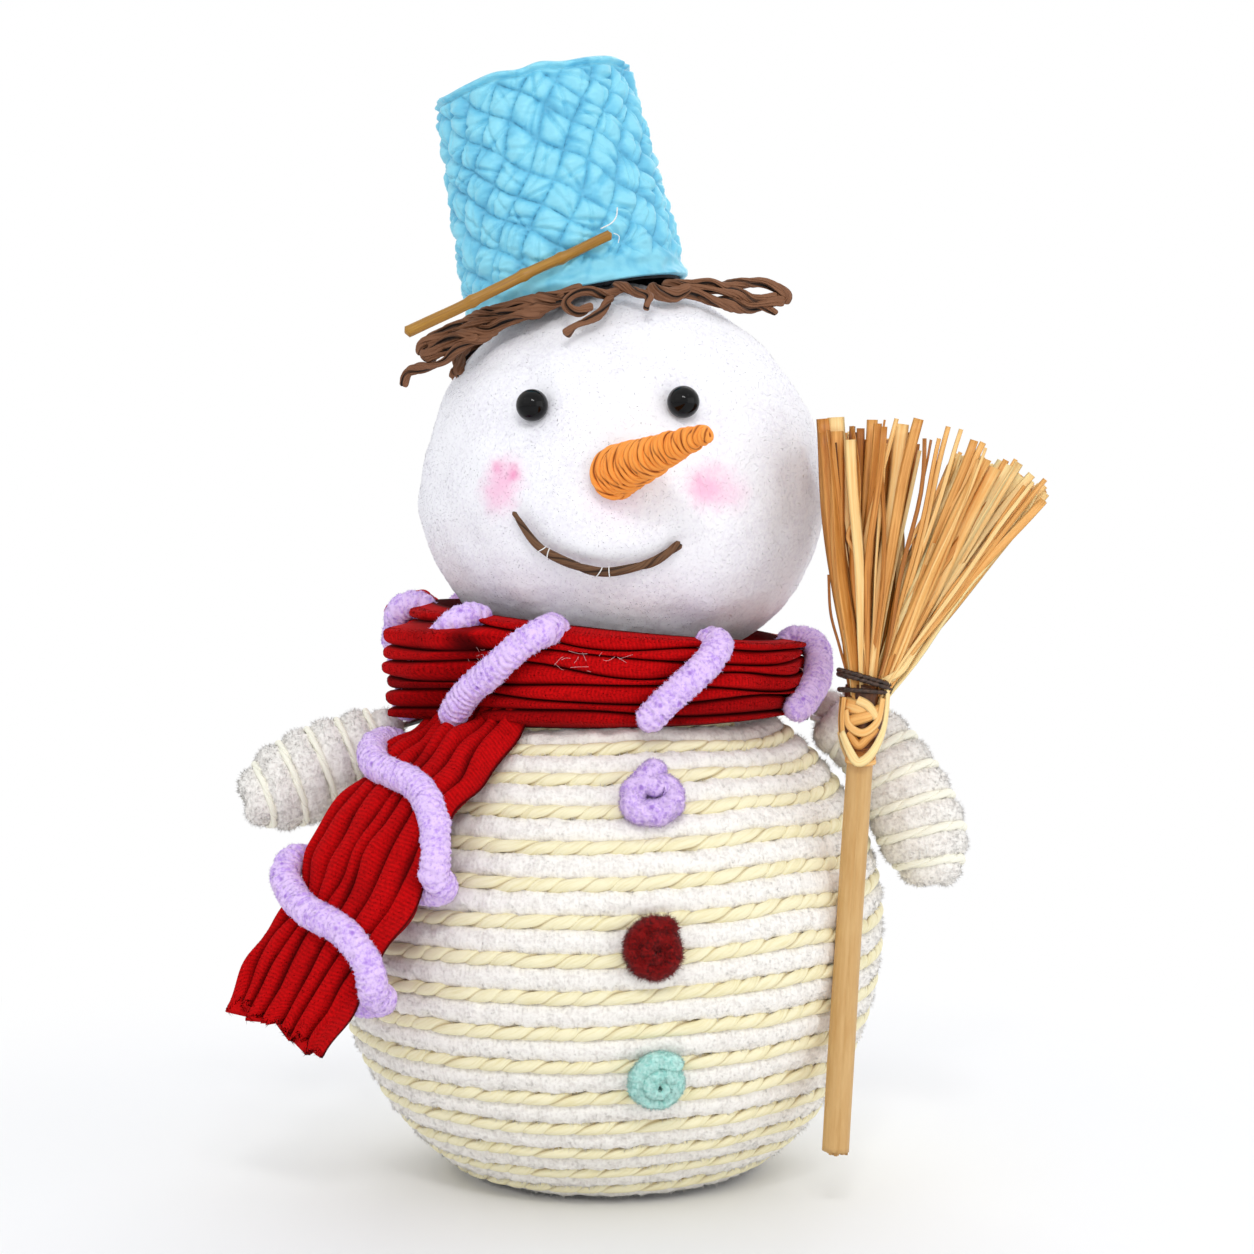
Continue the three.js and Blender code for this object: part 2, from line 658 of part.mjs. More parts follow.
// Distance out from the neck's axis at a share of the collar's height.
function collarRadius(share) {
  return COLLAR_RADIUS + COLLAR_BULGE * Math.sin(Math.PI * share);
}

function collarCord(index) {
  const rings = [];
  for (let k = 0; k <= COLLAR_STEPS; k += 1) {
    const degrees = COLLAR_START + (COLLAR_SWEEP * k) / COLLAR_STEPS;
    const [bottom, top] = [collarBottom(degrees), collarTop(degrees)];
    const pitch = (top - bottom) / COLLAR_CORDS;
    const outward = around(degrees);
    const centre = outward.clone().multiplyScalar(collarRadius((index + 0.5) / COLLAR_CORDS));
    centre.z = bottom + pitch * (index + 0.5);
    const halfHeight = (pitch - CORD_GAP) / 2;
    rings.push(ringOf(centre, outward, new THREE.Vector3(0, 0, 1), COLLAR_CORD_DEPTH, halfHeight, 6));
  }
  return skin(rings);
}

// Where each plush stem crosses the collar: degrees at its top and at its bottom.
const COLLAR_WRAPS = [
  [-41, -70], [-15, -46], [32, 9], [88, 58], [148, 116], [190, 157], [232, 199], [276, 244],
];

// One stem tied over the collar, from its top inner edge down to its lower edge.
function collarWrap([topDegrees, bottomDegrees]) {
  const outside = COLLAR_CORD_DEPTH + WRAP_RADIUS + SEAT_GAP;
  const points = [];
  for (const share of [1, 0.88, 0.5, 0.13]) {
    const degrees = THREE.MathUtils.lerp(bottomDegrees, topDegrees, share);
    const [bottom, top] = [collarBottom(degrees), collarTop(degrees)];
    const over = share === 1;
    const lift = over ? outside - WRAP_RADIUS / 2 : outside;
    const point = around(degrees).multiplyScalar(collarRadius(share) + lift);
    point.z = THREE.MathUtils.lerp(bottom, top, share) + (over ? WRAP_RADIUS * 0.7 : 0);
    points.push(point);
  }
  return cordAlong(smoothCurve(points), WRAP_RADIUS, 6, 6);
}

// Outer edges of the hanging end, from the collar down.
const TAIL_TOP_GAP = 3.5; // from the collar's lower edge down to the middle of the strip's end
const TAIL_TILT = 0.045; // how much lower its end sits for each millimetre that the strip stands further out
const TAIL_RIGHT_EDGE = tailEdge(-62, [
  [-71.6, -44.4, 117.4], [-84.7, -52, 93.2], [-94.6, -56, 78], [-102.5, -58, 61.5],
]);
const TAIL_LEFT_EDGE = tailEdge(-25, [
  [-36.2, -69.5, 116.8], [-46.4, -77, 99], [-57, -78.5, 77], [-75.4, -72, 49.5],
]);
const TAIL_CROWN = 2.6; // how far the middle cords stand forward
const TAIL_STEPS = 9;

function tailEdge(degrees, points) {
  return smoothCurve([underCollar(degrees), ...points.map((point) => movedOut(point, LIMB_GROWTH))]);
}

// A place on the hanging end: down from the collar and across from its right edge, each 0 to 1.
function tailFrame(down, across) {
  const right = TAIL_RIGHT_EDGE.getPoint(down);
  const left = TAIL_LEFT_EDGE.getPoint(down);
  const sideways = left.clone().sub(right);
  const width = sideways.length();
  sideways.normalize();
  const along = TAIL_RIGHT_EDGE.getTangent(down).add(TAIL_LEFT_EDGE.getTangent(down)).normalize();
  const forward = sideways.clone().cross(along).normalize();
  if (forward.y > 0) forward.negate();
  const centre = right.clone().lerp(left, across);
  centre.addScaledVector(forward, TAIL_CROWN * (1 - (2 * across - 1) ** 2));
  return { centre, sideways, forward, width };
}

function tailCord(index) {
  const rings = [];
  for (let k = 0; k <= TAIL_STEPS; k += 1) {
    const { centre, sideways, forward, width } = tailFrame(k / TAIL_STEPS, (index + 0.5) / TAIL_CORDS);
    const halfWidth = (width / TAIL_CORDS - CORD_GAP) / 2;
    rings.push(ringOf(centre, sideways, forward, halfWidth, TAIL_CORD_DEPTH, 6));
  }
  return skin(rings);
}

// The plush stem that winds down the hanging end: half turns and how far down each one is.
const TAIL_WRAP_COURSE = [[-0.25, 0.07], [0, 0.1], [1, 0.47], [2, 0.57], [3, 0.8], [3.5, 0.86]];

function tailWrap() {
  const gap = WRAP_RADIUS + 3 * SEAT_GAP;
  const points = [];
  for (let i = 0; i < TAIL_WRAP_COURSE.length - 1; i += 1) {
    const [[fromTurn, fromDown], [toTurn, toDown]] = [TAIL_WRAP_COURSE[i], TAIL_WRAP_COURSE[i + 1]];
    const count = Math.max(1, Math.round((toTurn - fromTurn) * 7));
    for (let k = 0; k < count; k += 1) {
      const share = k / count;
      points.push(tailWrapPoint(THREE.MathUtils.lerp(fromTurn, toTurn, share),
        THREE.MathUtils.lerp(fromDown, toDown, share), gap));
    }
  }
  points.push(tailWrapPoint(...TAIL_WRAP_COURSE[TAIL_WRAP_COURSE.length - 1], gap));
  return cordAlong(smoothCurve(points), WRAP_RADIUS, 6, 38);
}

// Half turn 0 is the right edge, 1 the left edge, and the front lies between them.
function tailWrapPoint(halfTurns, down, gap) {
  const angle = Math.PI * halfTurns;
  const square = (value) => Math.sign(value) * Math.abs(value) ** 0.4;
  const [aside, ahead] = [square(Math.cos(angle)), square(Math.sin(angle))];
  const { centre, sideways, forward } = tailFrame(down, (1 - aside) / 2);
  centre.addScaledVector(sideways, -aside * gap);
  return centre.addScaledVector(forward, ahead * (TAIL_CORD_DEPTH + gap));
}

function buildScarf() {
  for (let i = 0; i < COLLAR_CORDS; i += 1) {
    addNode(doll, `scarf_collar_cord_${i + 1}`, collarCord(i), COLOURS.scarfRed, 0.9);
  }
  COLLAR_WRAPS.forEach((wrap, i) => {
    addNode(doll, `scarf_collar_tie_${i + 1}`, collarWrap(wrap), COLOURS.lilac, 0.95);
  });
  for (let i = 0; i < TAIL_CORDS; i += 1) {
    addNode(doll, `scarf_tail_cord_${i + 1}`, tailCord(i), COLOURS.scarfRed, 0.9);
  }
  addNode(doll, 'scarf_tail_tie', tailWrap(), COLOURS.lilac, 0.95);
}

// Arms

// An arm's radius over its windings, by distance along its middle line.
function armOutline(length) {
  return new THREE.SplineCurve([
    new THREE.Vector2(ARM_ROOT_RADIUS, ARM_START),
    new THREE.Vector2(ARM_RADIUS * 0.82, ARM_START + ARM_RADIUS),
    new THREE.Vector2(ARM_RADIUS, length - 2 * ARM_RADIUS),
    new THREE.Vector2(ARM_RADIUS * 0.97, length - ARM_RADIUS),
    new THREE.Vector2(ARM_RADIUS * 0.66, length - ARM_RADIUS * 0.27),
    new THREE.Vector2(ARM_PLUSH_RADIUS * 1.6, length),
  ]);
}

// The outline drawn in along its normal, as [radius, distance] points.
function armProfile(length, depth, count) {
  const outline = armOutline(length);
  return Array.from({ length: count + 1 }, (_, i) => {
    const point = outline.getPointAt(i / count);
    const tangent = outline.getTangentAt(i / count);
    return [point.x - depth * tangent.y, point.y + depth * tangent.x];
  });
}

function armWinding(line, cordRadius, sides, lead, label) {
  const length = line.getLength();
  const path = meridian(armProfile(length, cordRadius, 80), armProfile(length, ARM_PLUSH_RADIUS, 80));
  const turns = Math.floor((path.length / ARM_PITCH - lead) * ARM_SEGMENTS) / ARM_SEGMENTS;
  return woundCord({
    place: (t) => {
      const [radius, distance] = path.at((lead + t * turns) * ARM_PITCH);
      return { ...frameOn(line, Math.min(1, distance / length)), radius };
    },
    turns,
    stepsPerTurn: ARM_SEGMENTS,
    cordRadius,
    sides,
    label,
  });
}

function armCore(line) {
  const length = line.getLength();
  const coreDepth = 2 * ARM_PLUSH_RADIUS + 2 * SEAT_GAP;
  const profile = armProfile(length, coreDepth, 7).filter(([r]) => r > WIRE_RADIUS);
  const stub = [[WIRE_RADIUS, WIRE_GAP], [WIRE_RADIUS, profile[0][1]]];
  const rings = [...stub, ...profile].map(([radius, distance]) => {
    const { centre, crossA, crossB } = frameOn(line, distance / length);
    return ringOf(centre, crossA, crossB, radius, radius, ARM_SEGMENTS);
  });
  return skin(rings);
}

function armPoints(side) {
  return ARM_LINES[side].map((point) => movedOut(point, LIMB_GROWTH));
}

// The wire that carries each arm, from inside the body out to the shoulder's bend.
function armWireSolids(clearance) {
  return Object.keys(ARM_LINES).map((side) => {
    const [end, pull] = armPoints(side);
    const inward = end.clone().sub(pull).setZ(0).normalize();
    const length = WIRE_DEPTH + LIMB_GROWTH;
    inward.z = WIRE_RISE / (Math.hypot(end.x, end.y) - COLLAR_RADIUS + COLLAR_CORD_DEPTH);
    const start = end.clone().addScaledVector(inward.normalize(), length + clearance);
    return cordAlong(new THREE.LineCurve3(start, end), WIRE_RADIUS + clearance, 8, 1);
  });
}

function buildArms() {
  const wires = armWireSolids(0);
  Object.keys(ARM_LINES).forEach((side, i) => {
    const line = new THREE.QuadraticBezierCurve3(...armPoints(side));
    addNode(doll, `${side}_arm_core`, armCore(line), COLOURS.foam, 0.9);
    const plush = armWinding(line, ARM_PLUSH_RADIUS, 5, 0, `${side} arm plush winding`);
    addNode(doll, `${side}_arm_plush_winding`, plush, COLOURS.plushWhite, 0.95);
    const cord = armWinding(line, ARM_CORD_RADIUS, 3, 0.5, `${side} arm paper cord`);
    addNode(doll, `${side}_arm_paper_cord`, cord, COLOURS.paperCream, 0.7);
    addNode(doll, `${side}_shoulder_wire`, wires[i], COLOURS.wire, 0.4, 1);
  });
}

// Buttons: plush lumps on the front of the body

// How far in the winding's straight steps lie, as a share of the radius, by angle from the front.
function facetShare(angle) {
  const step = (2 * Math.PI) / BODY_SEGMENTS;
  const fromMiddle = (((angle % step) + step) % step) - step / 2;
  return Math.cos(step / 2) / Math.cos(fromMiddle);
}

function buildButtons() {
  for (const [name, [x, z]] of Object.entries(BUTTON_PLACES)) {
    const radius = bodyRadiusAt(z) * facetShare(x / BODY_RADIUS);
    const surface = new THREE.Vector3(x, -Math.sqrt(radius ** 2 - x ** 2), z);
    const reach = z < BELLY_HEIGHT ? BODY_LOWER_REACH : BODY_UPPER_REACH;
    const outward = new THREE.Vector3(surface.x, surface.y, 0).divideScalar(BODY_RADIUS ** 2);
    outward.z = (z - BELLY_HEIGHT) / reach ** 2;
    outward.normalize();
    const lump = new THREE.SphereGeometry(BUTTON_RADIUS, 12, 8).scale(1, 1, BUTTON_DEPTH / BUTTON_RADIUS);
    const turn = new THREE.Quaternion().setFromUnitVectors(new THREE.Vector3(0, 0, 1), outward);
    const place = surface.addScaledVector(outward, BUTTON_DEPTH + SEAT_GAP);
    const colour = { lilac: COLOURS.lilac, red: COLOURS.scarfRed, mint: COLOURS.mint }[name];
    const button = closedBody(lump.applyQuaternion(turn).translate(...place));
    addNode(doll, `${name}_button`, button, colour, 0.95);
  }
}

// Broom

// A bunch of strands standing on a six-sided backing. The backing's top is a lattice of triangles, and
// every other one runs up to a point as a three-sided strand. All strands follow one linear spread, so
// none crosses another.
function strawBunch() {
  const positions = [];
  const corners = [];
  const rows = STRAW_ROWS;
  const indexOf = new Map();
  const addPoint = (x, y, z) => positions.push(x, y, z) / 3 - 1;
  const lattice = (a, b) => {
    const key = `${a},${b}`;
    if (!indexOf.has(key)) {
      const x = (a + b / 2) * STRAW_PITCH;
      const y = ((b * Math.sqrt(3)) / 2) * STRAW_PITCH;
      indexOf.set(key, addPoint(x, y, STRAW_BACKING));
    }
    return indexOf.get(key);
  };
  const inside = (a, b) => Math.max(Math.abs(a), Math.abs(b), Math.abs(a + b)) <= rows;
  const edges = new Map();
  const noteEdge = (a, b) => {
    if (edges.has(`${b},${a}`)) edges.delete(`${b},${a}`);
    else edges.set(`${a},${b}`, [a, b]);
  };
  const bunchRadius = rows * STRAW_PITCH;
  let strand = 0;
  for (let a = -rows; a <= rows; a += 1) {
    for (let b = -rows; b <= rows; b += 1) {
      if (inside(a, b) && inside(a + 1, b) && inside(a, b + 1)) {
        const base = [lattice(a, b), lattice(a + 1, b), lattice(a, b + 1)];
        const x = (a + b / 2 + 0.5) * STRAW_PITCH;
        const y = ((b + 1 / 3) * Math.sqrt(3) * STRAW_PITCH) / 2;
        const tip = addPoint(...strandTip(x, y, bunchRadius, strand));
        strand += 1;
        base.forEach((corner, i) => corners.push(corner, base[(i + 1) % 3], tip));
        base.forEach((corner, i) => noteEdge(corner, base[(i + 1) % 3]));
      }
      if (inside(a + 1, b) && inside(a + 1, b + 1) && inside(a, b + 1)) {
        const flat = [lattice(a + 1, b), lattice(a + 1, b + 1), lattice(a, b + 1)];
        corners.push(...flat);
        flat.forEach((corner, i) => noteEdge(corner, flat[(i + 1) % 3]));
      }
    }
  }
  const below = new Map();
  const lower = (i) => {
    if (!below.has(i)) below.set(i, addPoint(positions[3 * i], positions[3 * i + 1], 0));
    return below.get(i);
  };
  const middle = addPoint(0, 0, 0);
  for (const [a, b] of edges.values()) {
    corners.push(a, lower(a), b, b, lower(a), lower(b));
    corners.push(lower(b), lower(a), middle);
  }
  const geometry = new THREE.BufferGeometry();
  geometry.setAttribute('position', new THREE.Float32BufferAttribute(positions, 3));
  geometry.setIndex(corners);
  return closedBody(geometry);
}

// The end of a strand that starts at x, y on the backing; ends are ragged by a fixed pattern.
function strandTip(x, y, bunchRadius, strand) {
  const ragged = 1 - 0.14 * ((strand * 0.618) % 1);
  const lean = STRAW_SHIFT + (STRAW_SPREAD_X * x) / bunchRadius;
  const depth = (STRAW_SPREAD_Y * y) / bunchRadius;
  const slant = new THREE.Vector3(lean - x, depth - y, STRAW_NOMINAL_HEIGHT);
  const share = (STRAW_LENGTH * ragged) / slant.length();
  return [x + slant.x * share, y + slant.y * share, STRAW_BACKING + slant.z * share];
}

function tieRing() {
  const radius = STRAW_ROWS * STRAW_PITCH + TIE_RADIUS + 2 * SEAT_GAP;
  return woundCord({
    place: (t) => ({
      centre: new THREE.Vector3(0, 0, TIE_RADIUS + SEAT_GAP + t * 2 * (2 * TIE_RADIUS + 1.5 * LOOP_GAP)),
      crossA: new THREE.Vector3(1, 0, 0),
      crossB: new THREE.Vector3(0, 1, 0),
      along: new THREE.Vector3(0, 0, 1),
      radius,
    }),
    turns: 2,
    stepsPerTurn: 12,
    cordRadius: TIE_RADIUS,
    sides: 4,
    label: 'broom tie',
  });
}

function buildBroom() {
  const foot = movedOut(HANDLE_BOTTOM, BODY_GROWTH);
  const direction = new THREE.Vector3(...HANDLE_LEAN).normalize();
  const turn = new THREE.Quaternion().setFromUnitVectors(new THREE.Vector3(0, 0, 1), direction);
  const upright = (geometry, distance) => {
    const place = foot.clone().addScaledVector(direction, distance);
    return closedBody(geometry.applyQuaternion(turn).translate(...place));
  };
  const handle = [[0, 0], [HANDLE_RADIUS, 0], [HANDLE_RADIUS, HANDLE_LENGTH], [0, HANDLE_LENGTH]];
  addNode(doll, 'broom_handle', upright(revolve(handle, 12), 0), COLOURS.handle, 0.55);

  const bore = HANDLE_RADIUS + SEAT_GAP;
  const knot = [[bore, 0], [KNOT_FOOT_RADIUS, 0], [KNOT_TOP_RADIUS, KNOT_LENGTH * 0.7],
    [KNOT_TOP_RADIUS, KNOT_LENGTH], [bore, KNOT_LENGTH], [bore, 0]];
  addNode(doll, 'broom_knot', upright(revolve(knot, 12), HANDLE_LENGTH - KNOT_LENGTH), COLOURS.straw, 0.7);

  const strawFoot = HANDLE_LENGTH + SEAT_GAP;
  addNode(doll, 'broom_straw', upright(strawBunch(), strawFoot), COLOURS.straw, 0.65);
  addNode(doll, 'broom_tie', upright(tieRing(), strawFoot), COLOURS.tie, 0.7);
}

buildBody();
buildHead();
buildHat();
buildScarf();
buildArms();
buildButtons();
buildBroom();
doll.updateMatrixWorld(true);

export default doll;
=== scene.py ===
"""Fabric snowman doll: the visible surfaces, built round the doll's own frame.

Sizes are in millimetres unless a name says otherwise; the doll faces -Y and its own left is +X.
"""

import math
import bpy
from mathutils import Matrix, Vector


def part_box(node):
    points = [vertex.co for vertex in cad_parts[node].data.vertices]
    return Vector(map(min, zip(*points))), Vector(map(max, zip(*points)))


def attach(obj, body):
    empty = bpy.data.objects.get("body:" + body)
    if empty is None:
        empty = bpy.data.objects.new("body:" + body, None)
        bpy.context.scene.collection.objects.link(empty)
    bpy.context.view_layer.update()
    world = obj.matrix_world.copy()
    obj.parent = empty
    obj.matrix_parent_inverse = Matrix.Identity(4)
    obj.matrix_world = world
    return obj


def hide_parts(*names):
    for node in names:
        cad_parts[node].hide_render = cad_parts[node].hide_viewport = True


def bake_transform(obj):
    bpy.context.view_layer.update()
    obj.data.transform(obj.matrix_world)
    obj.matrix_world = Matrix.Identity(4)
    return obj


bl_info = {
    "name": "Fabric Snowman Doll",
    "version": (1, 0, 0),
    "blender": (4, 5, 0),
    "location": "3D View > Sidebar > Doll",
    "description": "Plush, cord, fleece, scarf, hat and broom of a fabric snowman doll",
    "category": "Add Mesh",
}

from functools import partial

import bpy
import numpy as np
from bpy.props import FloatProperty, IntProperty, PointerProperty
from mathutils import Vector

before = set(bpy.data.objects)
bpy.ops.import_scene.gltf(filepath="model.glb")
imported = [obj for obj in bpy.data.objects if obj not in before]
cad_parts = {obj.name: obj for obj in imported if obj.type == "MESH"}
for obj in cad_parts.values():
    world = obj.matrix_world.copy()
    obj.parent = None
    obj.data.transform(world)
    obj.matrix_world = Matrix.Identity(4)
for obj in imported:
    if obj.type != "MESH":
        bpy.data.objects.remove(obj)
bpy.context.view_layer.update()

MM = 0.001
TAU = 2 * math.pi
UP = np.array([0.0, 0.0, 1.0])
FORWARD = np.array([0.0, -1.0, 0.0])

# Stage, in metres and watts
CAMERA_PLACE = (0.006, -0.690, 0.182)
CAMERA_DIP = math.atan(67 / 2300)
CAMERA_LENS = 66.03
LAMP_AIM = Vector((0, 0, 0.16))
# Each lamp's place, size and power
LAMPS = {
    "key": ((-0.8, -0.95, 0.95), 1.1, 1.0),
    "fill": ((1.15, -0.8, 0.2), 1.3, 4.4),
    "back": ((0.2, 1.0, 0.9), 1.2, 5.0),
    "sparkle_near": ((-0.02, -0.85, 0.8), 0.13, 1.4),
    "sparkle_far": ((0.14, -0.85, 0.72), 0.13, 0.9),
}
WORLD_STRENGTH = 0.88
FLOOR_HALF = 3.0

# Body and its windings
BODY_RADIUS = 82.2
BELLY_HEIGHT = 75
BODY_LOWER_REACH = 86.9
BODY_UPPER_REACH = 75.996
BODY_MEAN_REACH = 80
WINDING_PITCH = 9.8
WINDING_FOOT_RADIUS = 37.5
WINDING_TOP = 137.4
PLUSH_RADIUS = 3.3
PAPER_CORD_RADIUS = 1.5
SEAT_GAP = 0.3
# Shares of a twisted cord's radius: each ply's own radius, and how far it runs from the middle
PLY_SIZE = 0.7
PLY_OFFSET = 0.375

# Head and face
HEAD_CENTRE = np.array([4.8, 0.0, 200.0])
HEAD_RADIUS = 61
HEAD_UPPER_REACH = 64.5
HEAD_LOWER_REACH = 52
NECK_OPENING_RADIUS = 26
MOUTH_PLACES = [[-25, 195.3], [-17.8, 185.9], [-8.2, 180.9], [1.3, 179.3], [12.3, 181.5], [20.6, 186.9]]
# Where rouge is rubbed in, how wide and how strongly
CHEEK_RUBS = [
    ([-28.4, -50.8, 204.5], 8.5, 0.7), ([-30.6, -49.8, 200.0], 8.5, 0.5), ([29.5, -56.0, 202.0], 9.0, 0.7),
    ([36.0, -52.4, 201.0], 8.0, 0.35), ([27.6, -56.8, 201.5], 5.6, 0.6), ([2.0, -60.4, 199.0], 10.0, 0.22),
    ([-25.4, -52.2, 205.6], 2.5, 0.55), ([-25.8, -52.2, 208.2], 2.0, 0.5), ([-30.6, -49.6, 208.0], 2.6, 0.4),
    ([26.4, -57.0, 204.0], 2.6, 0.3),
]
NOSE_BASE = [1.9, 205.4]
NOSE_TIP = np.array([26.6, -91, 215.1])
NOSE_BASE_RADIUS = 7.4
NOSE_TIP_RADIUS = 2.3
NOSE_TURNED_BY = 0.8
NOSE_TURNS = 12

# Hat, in its own frame: from the middle of its rim, up along its lean
HAT_RIM_RADIUS = 33
HAT_CROWN_RADIUS = 28.6
HAT_HEIGHT = 65
HAT_WALL = 1.6
HAT_CENTRE_X = -8.8
HAT_LEAN = math.radians(11.9)
# The quilting's two sets of seams: how many meet a level line round the hat, and how far each set slants
SEAMS = (19, 13)
SEAM_SLANTS = (12.3, 18)
TWIG_ROUTE = [[13.3, -35.5, 12.2], [-12, -34.8, 6.2], [-36.4, -35.8, 0], [-49.9, -36.1, -3.1]]

# Scarf
COLLAR_RADIUS = 55
COLLAR_START = -118
COLLAR_SWEEP = 352
# A small hollow between two rolls near the first tie: how far round from the front, and how far up the collar
HOLLOW_DEGREES = -37.5
HOLLOW_RISE = 19.5
# The velvet's real rows are about 0.7 mm apart; this is what a picture of the whole doll can show.
RIB_SPACING = 1.1
# Each collar tie's top and bottom, in degrees round from the front
COLLAR_WRAPS = [
    [-41, -70], [-15, -46], [32, 9], [88, 58], [148, 116], [190, 157], [232, 199], [276, 244],
]
# Along a collar tie: share of the collar's height, how far out and how far up from there
TIE_COURSE = [
    [1.0, -3.0, -3.0], [1.0, 1.2, 0.4], [0.93, 6.2, 0.8], [0.78, 8.4, 0.2], [0.5, 9.2, 0], [0.24, 8.5, 0],
    [0.1, 7.6, 0], [0.01, 5.6, 0],
]
TAIL_TOP_GAP = 3.5
TAIL_CORD_DEPTH = 2.2
TAIL_CROWN = 2.6
TAIL_TIED_AT = (0.30, 0.70)
TAIL_WRAP_COURSE = np.array([[-0.25, 0.07], [0, 0.1], [1, 0.47], [2, 0.57], [3, 0.8], [3.5, 0.86]])
TAIL_TIE_GAP = 3.6

# Arms
ARM_LINES = {
    "right": [[-60.5, -9, 133], [-80, -16, 123], [-102.7, -24.6, 111]],
    "left": [[60.5, -1, 134.8], [83, -5, 138], [97.5, -14, 88.5]],
}
ARM_CORD_RADII = {"right": 1.15, "left": 1.5}
ARM_RADIUS = 11.4
ARM_ROOT_RADIUS = 7.6
ARM_START = 4
ARM_PITCH = 9
ARM_PLUSH_RADIUS = 3.1

BUTTON_RADIUS = 9.4

# Broom
HANDLE_FOOT = np.array([64.2, -56.0, 18.0])
HANDLE_LEAN = np.array([7.0, 6.0, 110.0])
HANDLE_LENGTH = 126.5
HANDLE_RADIUS = 3.7
KNOT_LENGTH = 19


# Curves and fields

def unit(vectors):
    """The vectors at length one."""
    return vectors / np.maximum(np.linalg.norm(vectors, axis=-1, keepdims=True), 1e-12)


def distances(line):
    """How far along a line of points each one is."""
    return np.concatenate([[0], np.cumsum(np.linalg.norm(np.diff(line, axis=0), axis=1))])


def read_off(at, along, values):
    """Rows of values known along a line, at other places on it."""
    return np.column_stack([np.interp(at, along, column) for column in values.T])


def resample(line, count):
    """The same line as evenly spaced points."""
    along = distances(line)
    return read_off(np.linspace(0, along[-1], count), along, line)


def smooth_line(points, count):
    """A curve through the points, as evenly spaced ones."""
    points = np.asarray(points, float)
    path = np.vstack([2 * points[0] - points[1], points, 2 * points[-1] - points[-2]])
    t = np.linspace(0, 1, 24, endpoint=False)[:, None]
    parts = [0.5 * (2 * b + (c - a) * t + (2 * a - 5 * b + 4 * c - d) * t**2 + (3 * b - a - 3 * c + d) * t**3)
             for a, b, c, d in zip(path, path[1:], path[2:], path[3:])]
    return resample(np.vstack([*parts, points[-1:]]), count)


def smoothstep(values, low, high):
    t = np.clip((values - low) / (high - low), 0, 1)
    return t * t * (3 - 2 * t)


def peak(values, width):
    """One at zero, fading to nothing past a width."""
    return np.exp(-((values / width) ** 2))


def ripples(points, wavelength, seed):
    """A smooth random field, about -1 to 1, at points in millimetres."""
    waves = 16
    rng = np.random.default_rng(seed)
    directions = unit(rng.normal(size=(waves, points.shape[1])))
    rates = TAU / (wavelength * rng.uniform(0.65, 1.5, waves))
    phases = rng.uniform(0, TAU, waves)
    return np.sin(points @ (directions * rates[:, None]).T + phases).sum(1) / math.sqrt(2 * waves)


def wavering(line, size, wavelength, seed):
    """The line, pushed about a little in all three directions."""
    return line + size * np.column_stack([ripples(line, wavelength, seed + k) for k in range(3)])


def loop_of(sides):
    """Angles evenly round a ring."""
    return TAU * np.arange(sides) / sides


def polar(radius, angle, height):
    """Points round an upright axis."""
    return np.stack(np.broadcast_arrays(radius * np.cos(angle), radius * np.sin(angle), height), -1)


def aimed(angle, first, second):
    """Directions at an angle from a first one towards a second."""
    return np.cos(angle)[..., None] * first + np.sin(angle)[..., None] * second


def upright(ways):
    """Two directions square to each way: one rising and one level."""
    level = unit(np.cross(UP, ways))
    return np.cross(ways, level), level


def side_frames(line, outward):
    """Outward directions square to a line, and sideways ones."""
    tangents = unit(np.gradient(line, axis=0))
    sideways = unit(np.cross(tangents, outward))
    return np.cross(sideways, tangents), sideways


def carried_frames(line, first):
    """Outward and sideways directions that turn as little as they can along a line."""
    tangents = unit(np.gradient(line, axis=0))
    outward, way = [], first
    for tangent in tangents:
        way = unit(way - tangent * way.dot(tangent))
        outward.append(way)
    return np.array(outward), np.cross(tangents, outward)


def round_rings(line, frames, sides, half_out, half_side=None):
    """Elliptical rings along a line; the half sizes may vary along it and round it."""
    out, side = frames
    half_side = half_out if half_side is None else half_side
    half_out, half_side = (np.reshape(h, (len(line), -1)) if np.ndim(h) else h for h in (half_out, half_side))
    angles = loop_of(sides)
    return (line[:, None] + (half_out * np.cos(angles))[..., None] * out[..., None, :]
            + (half_side * np.sin(angles))[..., None] * side[..., None, :])


def rounded_ends(line, radius, share=1.0):
    """How much of its width a cord keeps near its two ends, so that they close as domes."""
    along = distances(line)
    left = np.minimum(along, along[-1] - along) / (radius * share)
    return np.sqrt(np.clip(1 - (1 - np.clip(left, 0, 1)) ** 2, 0.02, 1))


# Shapes

